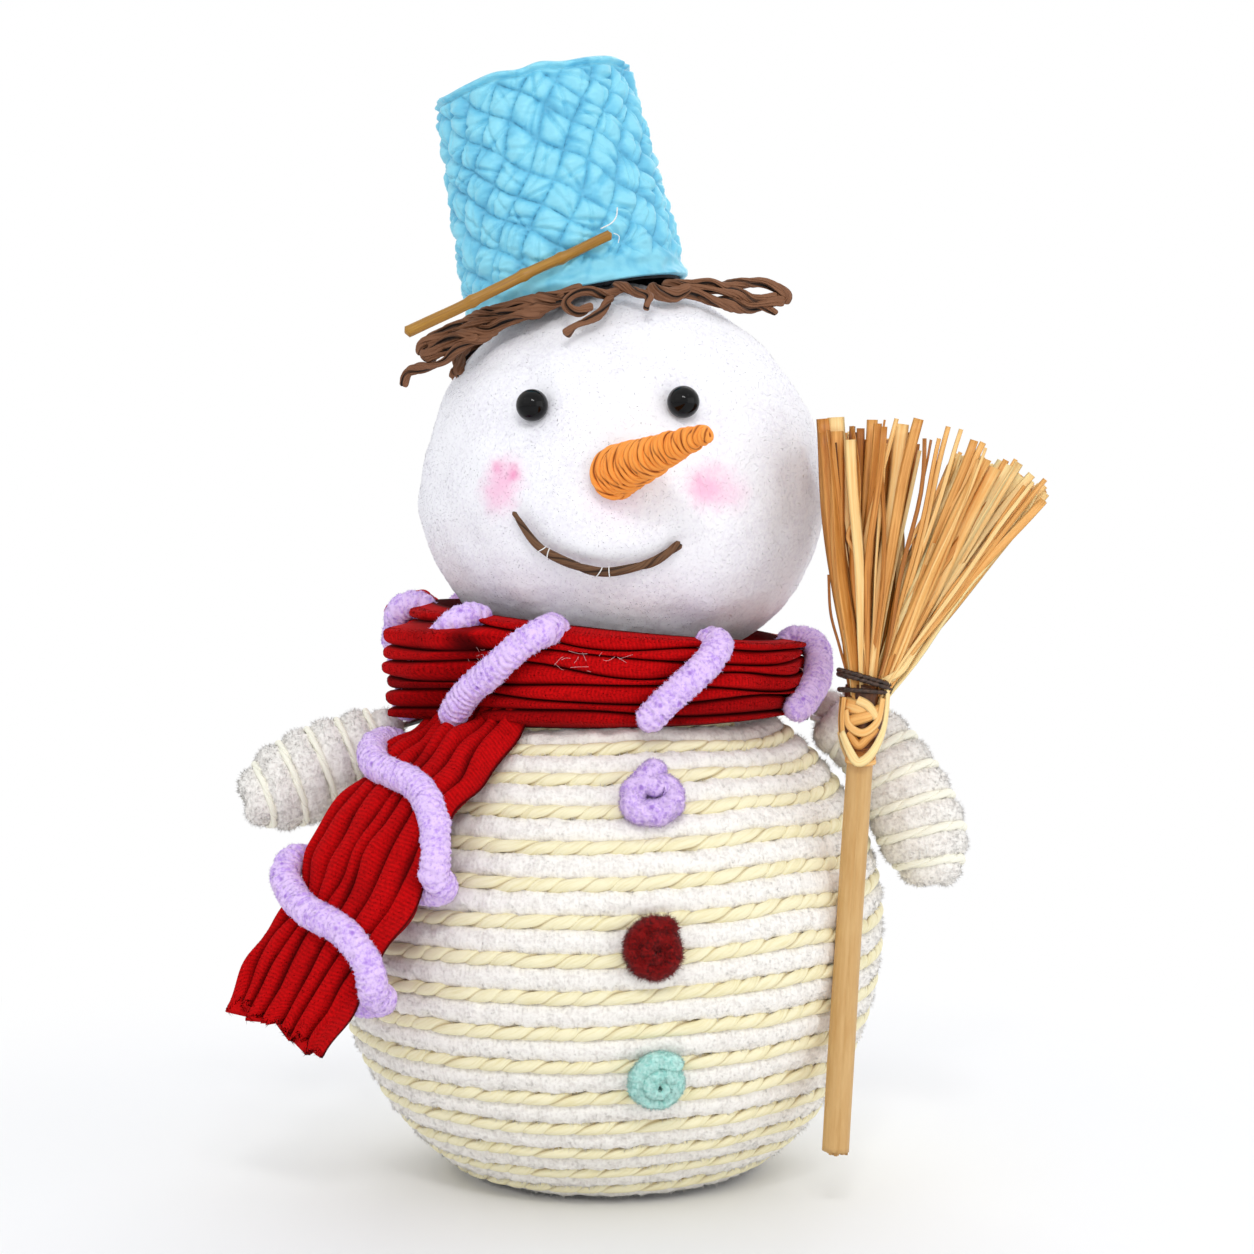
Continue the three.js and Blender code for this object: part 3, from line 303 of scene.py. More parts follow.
class Shape:
    """Points in millimetres, and faces whose corners know how far along and round the stock they are."""

    def __init__(self):
        self.points, self.faces, self.places, self.shades, self.normals = [], [], [], [], []
        self.count = 0

    def add(self, points, faces, places, shade, normals):
        self.faces += [corners + self.count for corners in faces]
        self.places += places
        self.points.append(points)
        self.shades.append(shade)
        self.normals.append(normals)
        self.count += len(points)

    def sweep(self, rings, shade=0.5, closed=False, start=0.0):
        """A skin over rings of points, with a fan at each end or joined end to end."""
        count, sides = rings.shape[:2]
        middles = rings.mean(1)
        along = start + distances(np.vstack([middles, middles[:1]]) if closed else middles)
        rows = len(along) - 1
        k, j = np.arange(rows)[:, None], np.arange(sides)
        near, far, after = k * sides, (k + 1) % count * sides, (j + 1) % sides
        quads = np.stack([near + j, near + after, far + after, far + j], -1).reshape(-1, 4)
        here, further, this, then = np.broadcast_arrays(along[:-1, None], along[1:, None], j / sides, (j + 1) / sides)
        places = np.stack([here, this, here, then, further, then, further, this], -1).reshape(-1, 4, 2)
        faces, uvs = [quads], [places]
        points = rings.reshape(-1, 3)
        shade = np.broadcast_to(shade, (count, sides)).ravel()
        if not closed:
            total = count * sides
            last = total - sides
            points = np.vstack([points, middles[[0, -1]]])
            shade = np.append(shade, shade[[0, -1]])
            faces.append(np.vstack([np.stack([after, j, np.full(sides, total)], -1),
                                    np.stack([last + j, last + after, np.full(sides, total + 1)], -1)]))
            uvs.append(np.zeros((2 * sides, 3, 2)))
        self.add(points, faces, uvs, shade, np.zeros_like(points))
        return quads, points

    def fibres(self, points, quads, count, length, width, seed, lean=0.8, allowed=1.0):
        """Fine three-sided hairs on faces, each a closed spike that takes light as the cloth below it does."""
        rng = np.random.default_rng(seed)
        a, b, c, d = (points[quads[:, i]] for i in range(4))
        cross = np.cross(c - a, d - b)
        areas = np.linalg.norm(cross, axis=1) * allowed
        chosen = rng.choice(len(quads), count, p=areas / areas.sum())
        u, v = rng.random((2, count, 1))
        feet = ((1 - u) * (1 - v) * a[chosen] + u * (1 - v) * b[chosen]
                + u * v * c[chosen] + (1 - u) * v * d[chosen])
        normals = unit(cross[chosen])
        reach = length * rng.uniform(0.55, 1.15, (count, 1))
        ways = unit(normals + lean * rng.normal(size=(count, 3)))
        ways = np.where((ways * normals).sum(1, keepdims=True) < 0.1, unit(ways + normals), ways)
        side_a = unit(np.cross(ways, rng.normal(size=(count, 3))))
        side_b = np.cross(ways, side_a)
        sunk = feet - ways * width
        corners = [sunk + width * (math.cos(t) * side_a + math.sin(t) * side_b) for t in loop_of(3)]
        spikes = np.stack([*corners, feet + ways * reach], 1).reshape(-1, 3)
        base = np.arange(count)[:, None, None] * 4
        faces = (base + [[0, 1, 3], [1, 2, 3], [2, 0, 3], [0, 2, 1]]).reshape(-1, 3)
        self.add(spikes, [faces], [np.zeros(faces.shape + (2,))], np.repeat(rng.uniform(0.05, 0.95, count), 4),
                 np.repeat(normals, 4, axis=0))


def make_piece(name, shape, material, body, slot, *nodes):
    """A Blender object from a shape, riding on a body, if one is named, and standing for CAD nodes."""
    mesh = bpy.data.meshes.new(name)
    points = np.vstack(shape.points)
    # Plush and cord flatten where the doll stands on them.
    points[:, 2] = np.maximum(points[:, 2], 0.05)
    mesh.from_pydata((points * MM).tolist(), [], [corners for group in shape.faces for corners in group.tolist()])
    corners = np.concatenate([places.reshape(-1, 2) for places in shape.places])
    mesh.uv_layers.new(name="Stock").data.foreach_set("uv", corners.astype(np.float32).ravel())
    shade = mesh.attributes.new("shade", "FLOAT", "POINT")
    shade.data.foreach_set("value", np.concatenate(shape.shades).astype(np.float32))
    mesh.polygons.foreach_set("use_smooth", [True] * len(mesh.polygons))
    mesh.materials.append(material)
    mesh.update()
    normals = np.vstack(shape.normals)
    if normals.any():
        mesh.normals_split_custom_set_from_vertices(normals.tolist())
    piece = bpy.data.objects.new(name, mesh)
    bpy.context.scene.collection.objects.link(piece)
    if body:
        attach(piece, body)
    if nodes:
        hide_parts(*nodes)
    return piece


def paint_node(node, material):
    """A CAD node keeps its shape and takes a better material."""
    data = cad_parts[node].data
    data.materials.clear()
    data.materials.append(material)


def node_centre(node):
    """The middle of a CAD node's box."""
    low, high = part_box(node)
    return np.array((low + high) / 2) / MM


# Materials

def linear(hex_colour):
    """An sRGB hex colour as linear red, green, blue and alpha."""
    values = [int(hex_colour[i:i + 2], 16) / 255 for i in (1, 3, 5)]
    return [v / 12.92 if v <= 0.04045 else ((v + 0.055) / 1.055) ** 2.4 for v in values] + [1.0]


def per_mm(size):
    """A texture scale, in object metres, whose features come out about that many millimetres across."""
    return 1 / (size * MM)


def add_node(tree, kind, *inputs, output=None, stops=(), **named):
    """One node, and its output that is wanted, or else its first.

    Its inputs, in order or by name, are values or other nodes' outputs. Other names are settings. A ramp's stops are
    places and sRGB hex colours.
    """
    node = tree.nodes.new("ShaderNode" + kind)
    sockets = {name: value for name, value in named.items() if name in node.inputs}
    for name in named.keys() - sockets.keys():
        setattr(node, name, named[name])
    usable = [socket for socket in node.inputs if socket.enabled]
    for socket, value in [*zip(usable, inputs), *((node.inputs[name], value) for name, value in sockets.items())]:
        if isinstance(value, bpy.types.NodeSocket):
            tree.links.new(value, socket)
        else:
            socket.default_value = value
    for number, (place, colour) in enumerate(stops):
        elements = node.color_ramp.elements
        element = elements[number] if number < len(elements) else elements.new(1.0)
        element.position, element.color = place, linear(colour)
    return node.outputs[output] if output else next(socket for socket in node.outputs if socket.enabled)


def start_material(name, roughness, **sockets):
    """A new material, as a function that adds nodes to it and one that gives it its colour and relief."""
    material = bpy.data.materials.new(name)
    material.use_nodes = True
    tree = material.node_tree
    shader = tree.nodes["Principled BSDF"]
    for socket, value in {"Roughness": roughness, **sockets}.items():
        shader.inputs[socket.replace("_", " ")].default_value = value

    def finish(colour, height=None, strength=0.0, depth=0.0):
        tree.links.new(colour, shader.inputs["Base Color"])
        if height:
            relief = add_node(tree, "Bump", strength, depth * MM, Height=height)
            tree.links.new(relief, shader.inputs["Normal"])
        return material

    return partial(add_node, tree), finish


def add_patch(add, place, noise, colour, centre, reach, patch_colour, strength=0.7, edge=(0.6, 1.35, 0.2)):
    """A patch of colour over a colour, round a place on the doll: rouge on the cheeks, and painted shadow by the
    scarf's tail.

    Its edge is three shares of its reach: how ragged it is, where it ends and where it is full.
    """
    ragged, ends, full = (share * reach * MM for share in edge)
    away = add("VectorMath", place, [v * MM for v in centre], operation="DISTANCE")
    away = add("Math", noise, ragged, away, operation="MULTIPLY_ADD")
    amount = add("MapRange", away, ends, full, 0.0, strength, interpolation_type="SMOOTHSTEP")
    return add("Mix", amount, colour, linear(patch_colour), data_type="RGBA")


def chenille_pile(name, light, deep, ridge=1.3, tail_shadow=None, pit_shade=None):
    """Polyester chenille stem, cut pile: soft matt strands that stand in fine rows across the stem."""
    add, finish = start_material(name, 0.95, Specular_IOR_Level=0.2, Sheen_Weight=0.1, Sheen_Roughness=0.6)
    place = add("TexCoord", output="Object")
    strands = add("TexNoise", place, per_mm(0.9), 3.0, 0.6)
    tufts = add("TexNoise", place, per_mm(3.2), 2.0)
    along = add("SeparateXYZ", add("UVMap", uv_map="Stock"))
    shifted = add("Math", tufts, 9.0, operation="MULTIPLY")
    phase = add("Math", along, TAU / ridge, shifted, operation="MULTIPLY_ADD")
    ridged = add("Math", add("Math", phase, operation="SINE"), 0.05, strands, operation="MULTIPLY_ADD")
    height = add("Math", tufts, 0.5, ridged, operation="MULTIPLY_ADD")
    own = add("Attribute", attribute_name="shade", output="Fac")
    mixed = add("Math", own, 0.25, height, operation="MULTIPLY_ADD")
    colour = add("ValToRGB", mixed, stops=[(0.68, deep), (0.92, light)])
    # Painted shadow of the scarf's hanging end, where one is given.
    if tail_shadow:
        colour = add_patch(add, place, tufts, colour, *tail_shadow)
    # Painted shade: darker spots for the gaps between tufts of the pile.
    if pit_shade:
        cells = add("TexVoronoi", place, per_mm(4.4), feature="F1")
        amount = add("MapRange", cells, 0.22, 0.08, 0.0, 0.8)
        colour = add("Mix", amount, colour, linear(pit_shade), data_type="RGBA")
    return finish(colour, height, 0.4, 0.5)


def twisted_paper(name, light, deep, crease_shade, roughness=0.6, streak=0.35, tail_shadow=None):
    """Paper twisted into cord, calendered: long soft creases, with painted shade where one ply dips under the next.
    """
    add, finish = start_material(name, roughness, Specular_IOR_Level=0.3)
    stock = add("UVMap", uv_map="Stock")
    creases = add("TexNoise", add("Mapping", stock, Scale=(0.12, 11.0, 1.0)), 1.0, 4.0, 0.6)
    place = add("TexCoord", output="Object")
    patches = add("TexNoise", place, per_mm(14), 2.0)
    both = add("Math", patches, streak, creases, operation="MULTIPLY_ADD")
    colour = add("ValToRGB", both, stops=[(0.48, deep), (0.72, light)])
    # Painted shade on the inner half of each ply, where it turns under the other.
    inward = add("Math", add("SeparateXYZ", stock, output="Y"), 0.5, operation="PINGPONG")
    uneven = add("Math", creases, 0.16, inward, operation="MULTIPLY_ADD")
    colour = add("Mix", add("MapRange", uneven, 0.30, 0.46), colour, linear(crease_shade), data_type="RGBA")
    # Painted shadow of the scarf's hanging end, where one is given.
    if tail_shadow:
        colour = add_patch(add, place, patches, colour, *tail_shadow)
    return finish(colour, creases, 0.5, 0.25)


def brushed_fleece(name, light, deep, blush, rouge):
    """Polyester fleece, brushed: a smooth cloudy nap, with rouge rubbed unevenly into both cheeks."""
    add, finish = start_material(name, 1.0, Specular_IOR_Level=0.2)
    place = add("TexCoord", output="Object")
    nap = add("TexNoise", place, per_mm(1.2), 5.0, 0.6)
    clouds = add("TexNoise", place, per_mm(16), 3.0)
    cloudy = add("Math", clouds, 0.6, nap, operation="MULTIPLY_ADD")
    colour = add("ValToRGB", cloudy, stops=[(0.55, deep), (0.85, light)])
    rub = add("TexNoise", place, per_mm(5), 4.0, 0.7)
    for centre, reach, strength in CHEEK_RUBS:
        patch_colour = blush if reach > 4 else rouge
        colour = add_patch(add, place, rub, colour, centre, reach, patch_colour, strength, (0.9, 1.6, 0.45))
    return finish(colour, add("Math", clouds, 2.0, nap, operation="MULTIPLY_ADD"), 0.25, 0.6)


def ribbed_velvet(name, light, deep, fold, rib_share):
    """Cotton velvet over soft rolls: dull red in fine rows that bend over each roll, with painted shade between the
    rolls.
    """
    add, finish = start_material(name, 1.0, Specular_IOR_Level=0.1)
    axes = add("SeparateXYZ", add("UVMap", uv_map="Stock")).node.outputs
    place = add("TexCoord", output="Object")
    wander = add("TexNoise", place, per_mm(3), 2.0)
    roll = add("Math", axes["Y"], rib_share / 2, operation="PINGPONG")
    bend = add("Math", roll, 9.0 / rib_share, wander, operation="MULTIPLY_ADD")
    phase = add("Math", axes["X"], TAU / RIB_SPACING, bend, operation="MULTIPLY_ADD")
    fuzz = add("TexNoise", place, per_mm(1.0), 4.0, 0.7)
    height = add("Math", add("Math", phase, operation="SINE"), 0.13, fuzz, operation="MULTIPLY_ADD")
    pile = add("ValToRGB", height, stops=[(0.32, deep), (0.70, light)])
    # Painted shade: the shade attribute mixes in the fold colour between the rolls, in the hollow and low on the
    # collar.
    own = add("Attribute", attribute_name="shade", output="Fac")
    raised = add("MapRange", own, 0.12, 0.9, interpolation_type="SMOOTHSTEP")
    return finish(add("Mix", raised, linear(fold), pile, data_type="RGBA"), height, 0.35, 0.3)


def quilted_satin(name, light, deep, seam_shade):
    """Coated satin, quilted: smooth and softly glossy, with fine pulls that run to the seams, and painted shade in
    the seams and along the folds.
    """
    add, finish = start_material(name, 0.42, Specular_IOR_Level=0.35)
    place = add("TexCoord", output="Object")
    clouds = add("TexNoise", place, per_mm(7), 4.0)
    grain = add("TexNoise", place, per_mm(0.6), 2.0)
    own = add("Attribute", attribute_name="shade", output="Fac")
    mixed = add("Math", own, 0.5, clouds, operation="MULTIPLY_ADD")
    colour = add("ValToRGB", mixed, stops=[(0.55, seam_shade), (0.74, deep), (0.92, light)])
    return finish(colour, add("Math", grain, 0.15, clouds, operation="MULTIPLY_ADD"), 0.35, 0.5)


def dry_straw(name, stops, roughness=0.5):
    """Dried straw and leaf, split flat: long fibres, each strip its own gold, with a dull gloss."""
    add, finish = start_material(name, roughness)
    own = add("Attribute", attribute_name="shade").node.outputs
    stretch = add("Mapping", add("UVMap", uv_map="Stock"), Scale=(0.05, 9.0, 1.0))
    offset = add("VectorMath", own["Vector"], (17.0, 29.0, 0.0), stretch, operation="MULTIPLY_ADD")
    fibres = add("TexNoise", offset, 1.0, 5.0, 0.65)
    mixed = add("Math", fibres, 0.62, own["Fac"], operation="MULTIPLY_ADD")
    return finish(add("ValToRGB", add("Math", mixed, 0.31, operation="SUBTRACT"), stops=stops), fibres, 0.5, 0.2)


def plain_stock(name, light, deep, grain, roughness, metallic=0.0, depth=0.1):
    """A plain material with fine mottling: foam, board, dowel, wire, thread or cloth."""
    add, finish = start_material(name, roughness, Metallic=metallic)
    mottle = add("TexNoise", add("TexCoord", output="Object"), per_mm(grain), 4.0)
    return finish(add("ValToRGB", mottle, stops=[(0.35, deep), (0.65, light)]), mottle, 0.3, depth)


# Cords and stems

def chenille_stem(shape, line, outward, radius, seed, sides, flat=1.0, lumps=0.07, rows=0.0):
    """A plush stem along a line; returns its faces for the pile."""
    frames = side_frames(line, outward)
    skin = round_rings(line, frames, sides, radius, radius * flat).reshape(-1, 3)
    swell = 1 + 0.8 * lumps * ripples(skin, 7, seed) + 0.8 * lumps * ripples(skin, 2.8, seed + 1)
    if rows:
        swell += rows * np.sin(TAU * np.repeat(distances(line), sides) / 1.9 + 2.5 * ripples(skin, 5, seed + 2))
    size = swell.reshape(-1, sides) * rounded_ends(line, radius)[:, None] * radius
    return shape.sweep(round_rings(line, frames, sides, size, size * flat))


def twisted_cord(shape, line, outward, radius, lay, sides):
    """Two plies that wind round each other along a line, one turn in each lay."""
    frames = side_frames(line, outward)
    along = distances(line)
    along = along + 0.09 * lay * np.sin(along * TAU / 61) + 0.06 * lay * np.sin(along * TAU / 23)
    ply_radius = PLY_SIZE * radius * rounded_ends(line, radius, 0.6)
    for ply in range(2):
        angle = -TAU * (along / lay + ply / 2)
        # Each ply lingers on top before it dips, so the crossings slant gently.
        towards = aimed(angle - 0.27 * np.sin(2 * angle), *frames)
        middle = line + towards * np.reshape(PLY_OFFSET * radius, (-1, 1))
        shape.sweep(round_rings(middle, side_frames(middle, towards), sides, 0.86 * ply_radius, 1.12 * ply_radius),
                    start=ply * 37.0)


# Stage

def build_world(scene):
    """Plain studio light that the camera, gloss and glass see as white."""
    scene.world = bpy.data.worlds.new("studio")
    scene.world.use_nodes = True
    tree = scene.world.node_tree
    tree.nodes.clear()
    add = partial(add_node, tree)
    seen = add("LightPath").node.outputs
    shiny = add("Math", seen["Is Glossy Ray"], seen["Is Transmission Ray"], operation="MAXIMUM")
    clear = add("Math", seen["Is Camera Ray"], shiny, operation="MAXIMUM")
    light = add("Background", linear("#F4F6FA"), WORLD_STRENGTH)
    mixed = add("MixShader", clear, light, add("Background", (1, 1, 1, 1), 1.0))
    tree.links.new(mixed, tree.nodes.new("ShaderNodeOutputWorld").inputs["Surface"])


def build_floor(scene):
    """A pale matt floor that takes the doll's shadow and turns plain white further off."""
    corners = [(x * FLOOR_HALF, y * FLOOR_HALF, 0) for x, y in ((-1, -1), (1, -1), (1, 1), (-1, 1))]
    mesh = bpy.data.meshes.new("floor")
    mesh.from_pydata(corners, [], [(0, 1, 2, 3)])
    add, _ = start_material("floor_white_paint", 0.8, Base_Color=linear("#F2F2F2"))
    away = add("VectorMath", add("TexCoord", output="Object"), operation="LENGTH")
    far = add("MapRange", away, 0.13, 0.36, interpolation_type="SMOOTHSTEP")
    both = add("Math", add("LightPath", output="Is Camera Ray"), far, operation="MULTIPLY")
    material = bpy.data.materials["floor_white_paint"]
    nodes = material.node_tree.nodes
    mixed = add("MixShader", both, nodes["Principled BSDF"].outputs[0], add("Emission", (1, 1, 1, 1), 1.0))
    material.node_tree.links.new(mixed, nodes["Material Output"].inputs["Surface"])
    mesh.materials.append(material)
    floor = bpy.data.objects.new("floor", mesh)
    scene.collection.objects.link(floor)


# Body

def body_line(depth):
    """Radius and height along the body's profile, drawn in by a depth."""
    low = math.asin((PLUSH_RADIUS + SEAT_GAP - BELLY_HEIGHT) / BODY_LOWER_REACH)
    high = math.asin((WINDING_TOP - BELLY_HEIGHT) / BODY_UPPER_REACH)
    angle = np.linspace(low, high, 240)
    reach = np.where(angle < 0, BODY_LOWER_REACH, BODY_UPPER_REACH)
    normal = unit(np.column_stack([reach * np.cos(angle), BODY_RADIUS * np.sin(angle)]))
    radius = BODY_RADIUS * np.cos(angle) - depth * normal[:, 0]
    height = BELLY_HEIGHT + reach * np.sin(angle) - depth * normal[:, 1]
    line = np.column_stack([radius, np.maximum(height, depth + SEAT_GAP)])
    return np.vstack([[WINDING_FOOT_RADIUS, depth + SEAT_GAP], line])


def body_normal(points):
    """Directions straight out of the body."""
    return unit((points - [0, 0, BELLY_HEIGHT]) / np.array([BODY_RADIUS, BODY_RADIUS, BODY_MEAN_REACH]) ** 2)


def body_helix(depth, lead, step):
    """Centre line of a cord wound up the body, and its outward directions."""
    measured = distances(body_line(PLUSH_RADIUS))
    turns = math.floor((measured[-1] - lead) / WINDING_PITCH * 14) / 14
    share = np.linspace(0, 1, int(turns * TAU * 62 / step))
    radius, height = read_off(lead + share * turns * WINDING_PITCH, measured, body_line(depth)).T
    centres = polar(radius, math.pi / 2 + share * turns * TAU, height)
    centres = resample(centres, int(distances(centres)[-1] / step))
    outward = body_normal(centres)
    sag = 0.75 * ripples(centres, 60, 5) + 0.25 * ripples(centres, 22, 6)
    centres[:, 2] += sag * smoothstep(centres[:, 2], 4, 14)
    return centres, outward


# Head

def head_reach(height):
    return np.where(height < HEAD_CENTRE[2], HEAD_LOWER_REACH, HEAD_UPPER_REACH)


def head_normal(points):
    reach = head_reach(points[..., 2])
    flat = np.full_like(reach, HEAD_RADIUS)
    return unit((points - HEAD_CENTRE) / np.stack([flat, flat, reach], -1) ** 2)


def face_point(x, z, lift=0.0):
    """A point on the front of the face, lifted off the fleece."""
    radius = HEAD_RADIUS * math.sqrt(1 - ((z - HEAD_CENTRE[2]) / float(head_reach(z))) ** 2)
    point = np.array([x, -math.sqrt(radius**2 - (x - HEAD_CENTRE[0]) ** 2), z], float)
    return point + lift * head_normal(point)


def build_cover():
    fleece = brushed_fleece("fleece_brushed_white", "#F8F7FA", "#ECE9F0", "#F6B4D4", "#EE5FA6")
    rows, sides = 150, 260
    angle = np.linspace(math.pi / 2, -math.acos(NECK_OPENING_RADIUS / HEAD_RADIUS), rows)
    thick = np.where(angle < 0, HEAD_LOWER_REACH, HEAD_UPPER_REACH)
    outer = np.column_stack([HEAD_RADIUS * np.cos(angle), thick * np.sin(angle)])
    profile = np.vstack([outer, outer[::-1][:12] * 0.972])
    rings = HEAD_CENTRE + polar(profile[:, :1], loop_of(sides), profile[:, 1:])
    flat = rings.reshape(-1, 3)
    rise = 0.9 * ripples(flat, 34, 21) + 0.3 * ripples(flat, 11, 22) + 0.13 * ripples(flat, 3.2, 23) - 0.6
    mouth = smooth_line([face_point(x, z) for x, z in MOUTH_PLACES], 60)
    eyes = np.array([node_centre(f"{side}_eye") for side in ARM_LINES])
    for dents, reach, depth in ((mouth, 3.2, 0.9), (eyes, 6.5, 1.3), (face_point(*NOSE_BASE)[None], 9.5, 1.0)):
        rise -= depth * peak(np.linalg.norm(flat[:, None] - dents, axis=2).min(1), reach)
    cover, nap = Shape(), Shape()
    quads, points = cover.sweep((flat + head_normal(flat) * rise[:, None]).reshape(rings.shape))
    make_piece("head_cover_fleece", cover, fleece, "head", "fleece_white", "head_cover")
    nap.fibres(points, quads, settings().fleece_hairs, length=1.15, width=0.08, seed=24, lean=1.0,
               allowed=quads[:, 0] < (rows - 2) * sides)
    make_piece("head_fleece_nap", nap, fleece, "head", "fleece_white").visible_shadow = False


def build_eyes():
    """Polished acrylic beads: near-black, with small sharp highlights."""
    add, finish = start_material("acrylic_bead_black", 0.05, Specular_IOR_Level=0.2)
    dust = add("TexNoise", add("TexCoord", output="Object"), per_mm(1.5), 6.0)
    bead = finish(add("ValToRGB", dust, stops=[(0.55, "#030304"), (0.9, "#1A1A1C")]))
    latitude = np.linspace(-math.pi / 2, math.pi / 2, 40)
    for side in ARM_LINES:
        centre = node_centre(f"{side}_eye")
        outward = head_normal(centre)
        line = centre + (4.4 * np.sin(latitude))[:, None] * outward
        dome = Shape()
        dome.sweep(round_rings(line, upright(outward)[::-1], 56, 4.5 * np.cos(latitude)))
        make_piece(f"{side}_eye_bead", dome, bead, "head", "bead_black", f"{side}_eye")


def build_mouth():
    cord = twisted_paper("paper_cord_brown", "#6E4D33", "#3A2415", "#1E1108", roughness=0.65)
    line = smooth_line([face_point(x, z, 1.0) for x, z in MOUTH_PLACES], 110)
    line[:, 2] += 0.25 * ripples(line, 12, 31)
    shape = Shape()
    thick = 1.35 * (0.6 + 0.4 * smoothstep(distances(line), 0, 14))
    twisted_cord(shape, line, head_normal(line), thick, lay=24, sides=12)
    make_piece("mouth_cord_plies", shape, cord, "head", "cord_brown", "mouth_cord")
    thread = plain_stock("cotton_thread_white", "#F6F6F4", "#DCDCD8", grain=0.5, roughness=0.9)
    stitches = Shape()
    for share, tilt in ((0.24, 0.5), (0.29, -0.3), (0.55, 0.6), (0.6, 0.0)):
        place = int(share * len(line))
        normal = head_normal(line[place])
        along = unit(line[place + 1] - line[place])
        across = unit(np.cross(normal, along) + tilt * along)
        hoop = line[place] + 1.7 * aimed(np.linspace(0, math.pi, 12), across, normal)
        stitches.sweep(round_rings(hoop, carried_frames(hoop, normal), 6, 0.16))
    make_piece("mouth_stitches", stitches, thread, "head", "plush_white")


def build_nose():
    cord = twisted_paper("paper_cord_orange", "#FBA246", "#EE8426", "#8A3A0E", roughness=0.6)
    base = face_point(*NOSE_BASE, 0.9)
    share = np.linspace(0, 1, 900)
    turned = smoothstep(share, 0, NOSE_TURNED_BY)[:, None]
    frames = upright(unit(head_normal(face_point(*NOSE_BASE)) * (1 - turned) + unit(NOSE_TIP - base) * turned))
    shape = Shape()
    for strand in range(2):
        angle = TAU * (NOSE_TURNS * share) + 0.12 * np.sin(share * 60 + strand * 2)
        at = np.clip(share + strand * 0.5 / NOSE_TURNS, 0, 1.02)
        radius = NOSE_BASE_RADIUS + (NOSE_TIP_RADIUS - NOSE_BASE_RADIUS) * at - 0.75
        radius = radius + 0.22 * np.sin(share * 31 + strand * 3) - 1.2 * smoothstep(share, 0.96, 1.0)
        towards = aimed(angle, *frames)
        line = base + at[:, None] * (NOSE_TIP - base) + towards * radius[:, None]
        line[:, 2] -= 0.8 * peak(share - 0.93, 0.03) * (strand == 0)
        twisted_cord(shape, resample(line, len(share)), towards, radius=1.12, lay=16, sides=7)
    make_piece("nose_winding_cord", shape, cord, "head", "cord_orange", "nose_winding")
    paint_node("nose_core", plain_stock("foam_dyed_orange", "#D97427", "#B85C18", grain=1.5, roughness=0.9))


# Hat

def hat_to_doll(points):
    """Points of the hat's own frame, in the doll's frame."""
    x, y, z = np.moveaxis(np.asarray(points, float), -1, 0)
    cosine, sine = math.cos(HAT_LEAN), math.sin(HAT_LEAN)
    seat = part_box("hat_wall")[0].z / MM + HAT_RIM_RADIUS * sine
    return np.stack([HAT_CENTRE_X + x * cosine - z * sine, y, seat + x * sine + z * cosine], -1)


def hat_radius(height):
    return HAT_RIM_RADIUS + (HAT_CROWN_RADIUS - HAT_RIM_RADIUS) * height / HAT_HEIGHT


def pad_folds(a, b):
    """Each quilted pad's own slope and sharp fold, alike on both sides of the hat's back."""
    cell_a, cell_b = np.floor(a), np.floor(b)
    slant_a, slant_b = SEAM_SLANTS
    laps = np.floor(((cell_a + 0.5) * slant_b + (cell_b + 0.5) * slant_a)
                    / (SEAMS[0] * slant_b + slant_a * SEAMS[1]))
    own = np.random.default_rng(43).random((64, 64, 6))
    own = own[(cell_a - SEAMS[0] * laps).astype(int) % 64, (cell_b - SEAMS[1] * laps).astype(int) % 64]
    tilt_u, tilt_v, *folds = np.moveaxis(own, -1, 0)
    u, v = a - cell_a - 0.5, b - cell_b - 0.5
    fold = np.zeros_like(u)
    for turn, shift in (folds[:2], folds[2:]):
        across = u * np.cos(math.pi * turn) + v * np.sin(math.pi * turn) + 0.5 * (shift - 0.5)
        fold += peak(across, 0.07) * (0.4 + 0.6 * shift)
    return (tilt_u - 0.5) * u + (tilt_v - 0.5) * v, fold


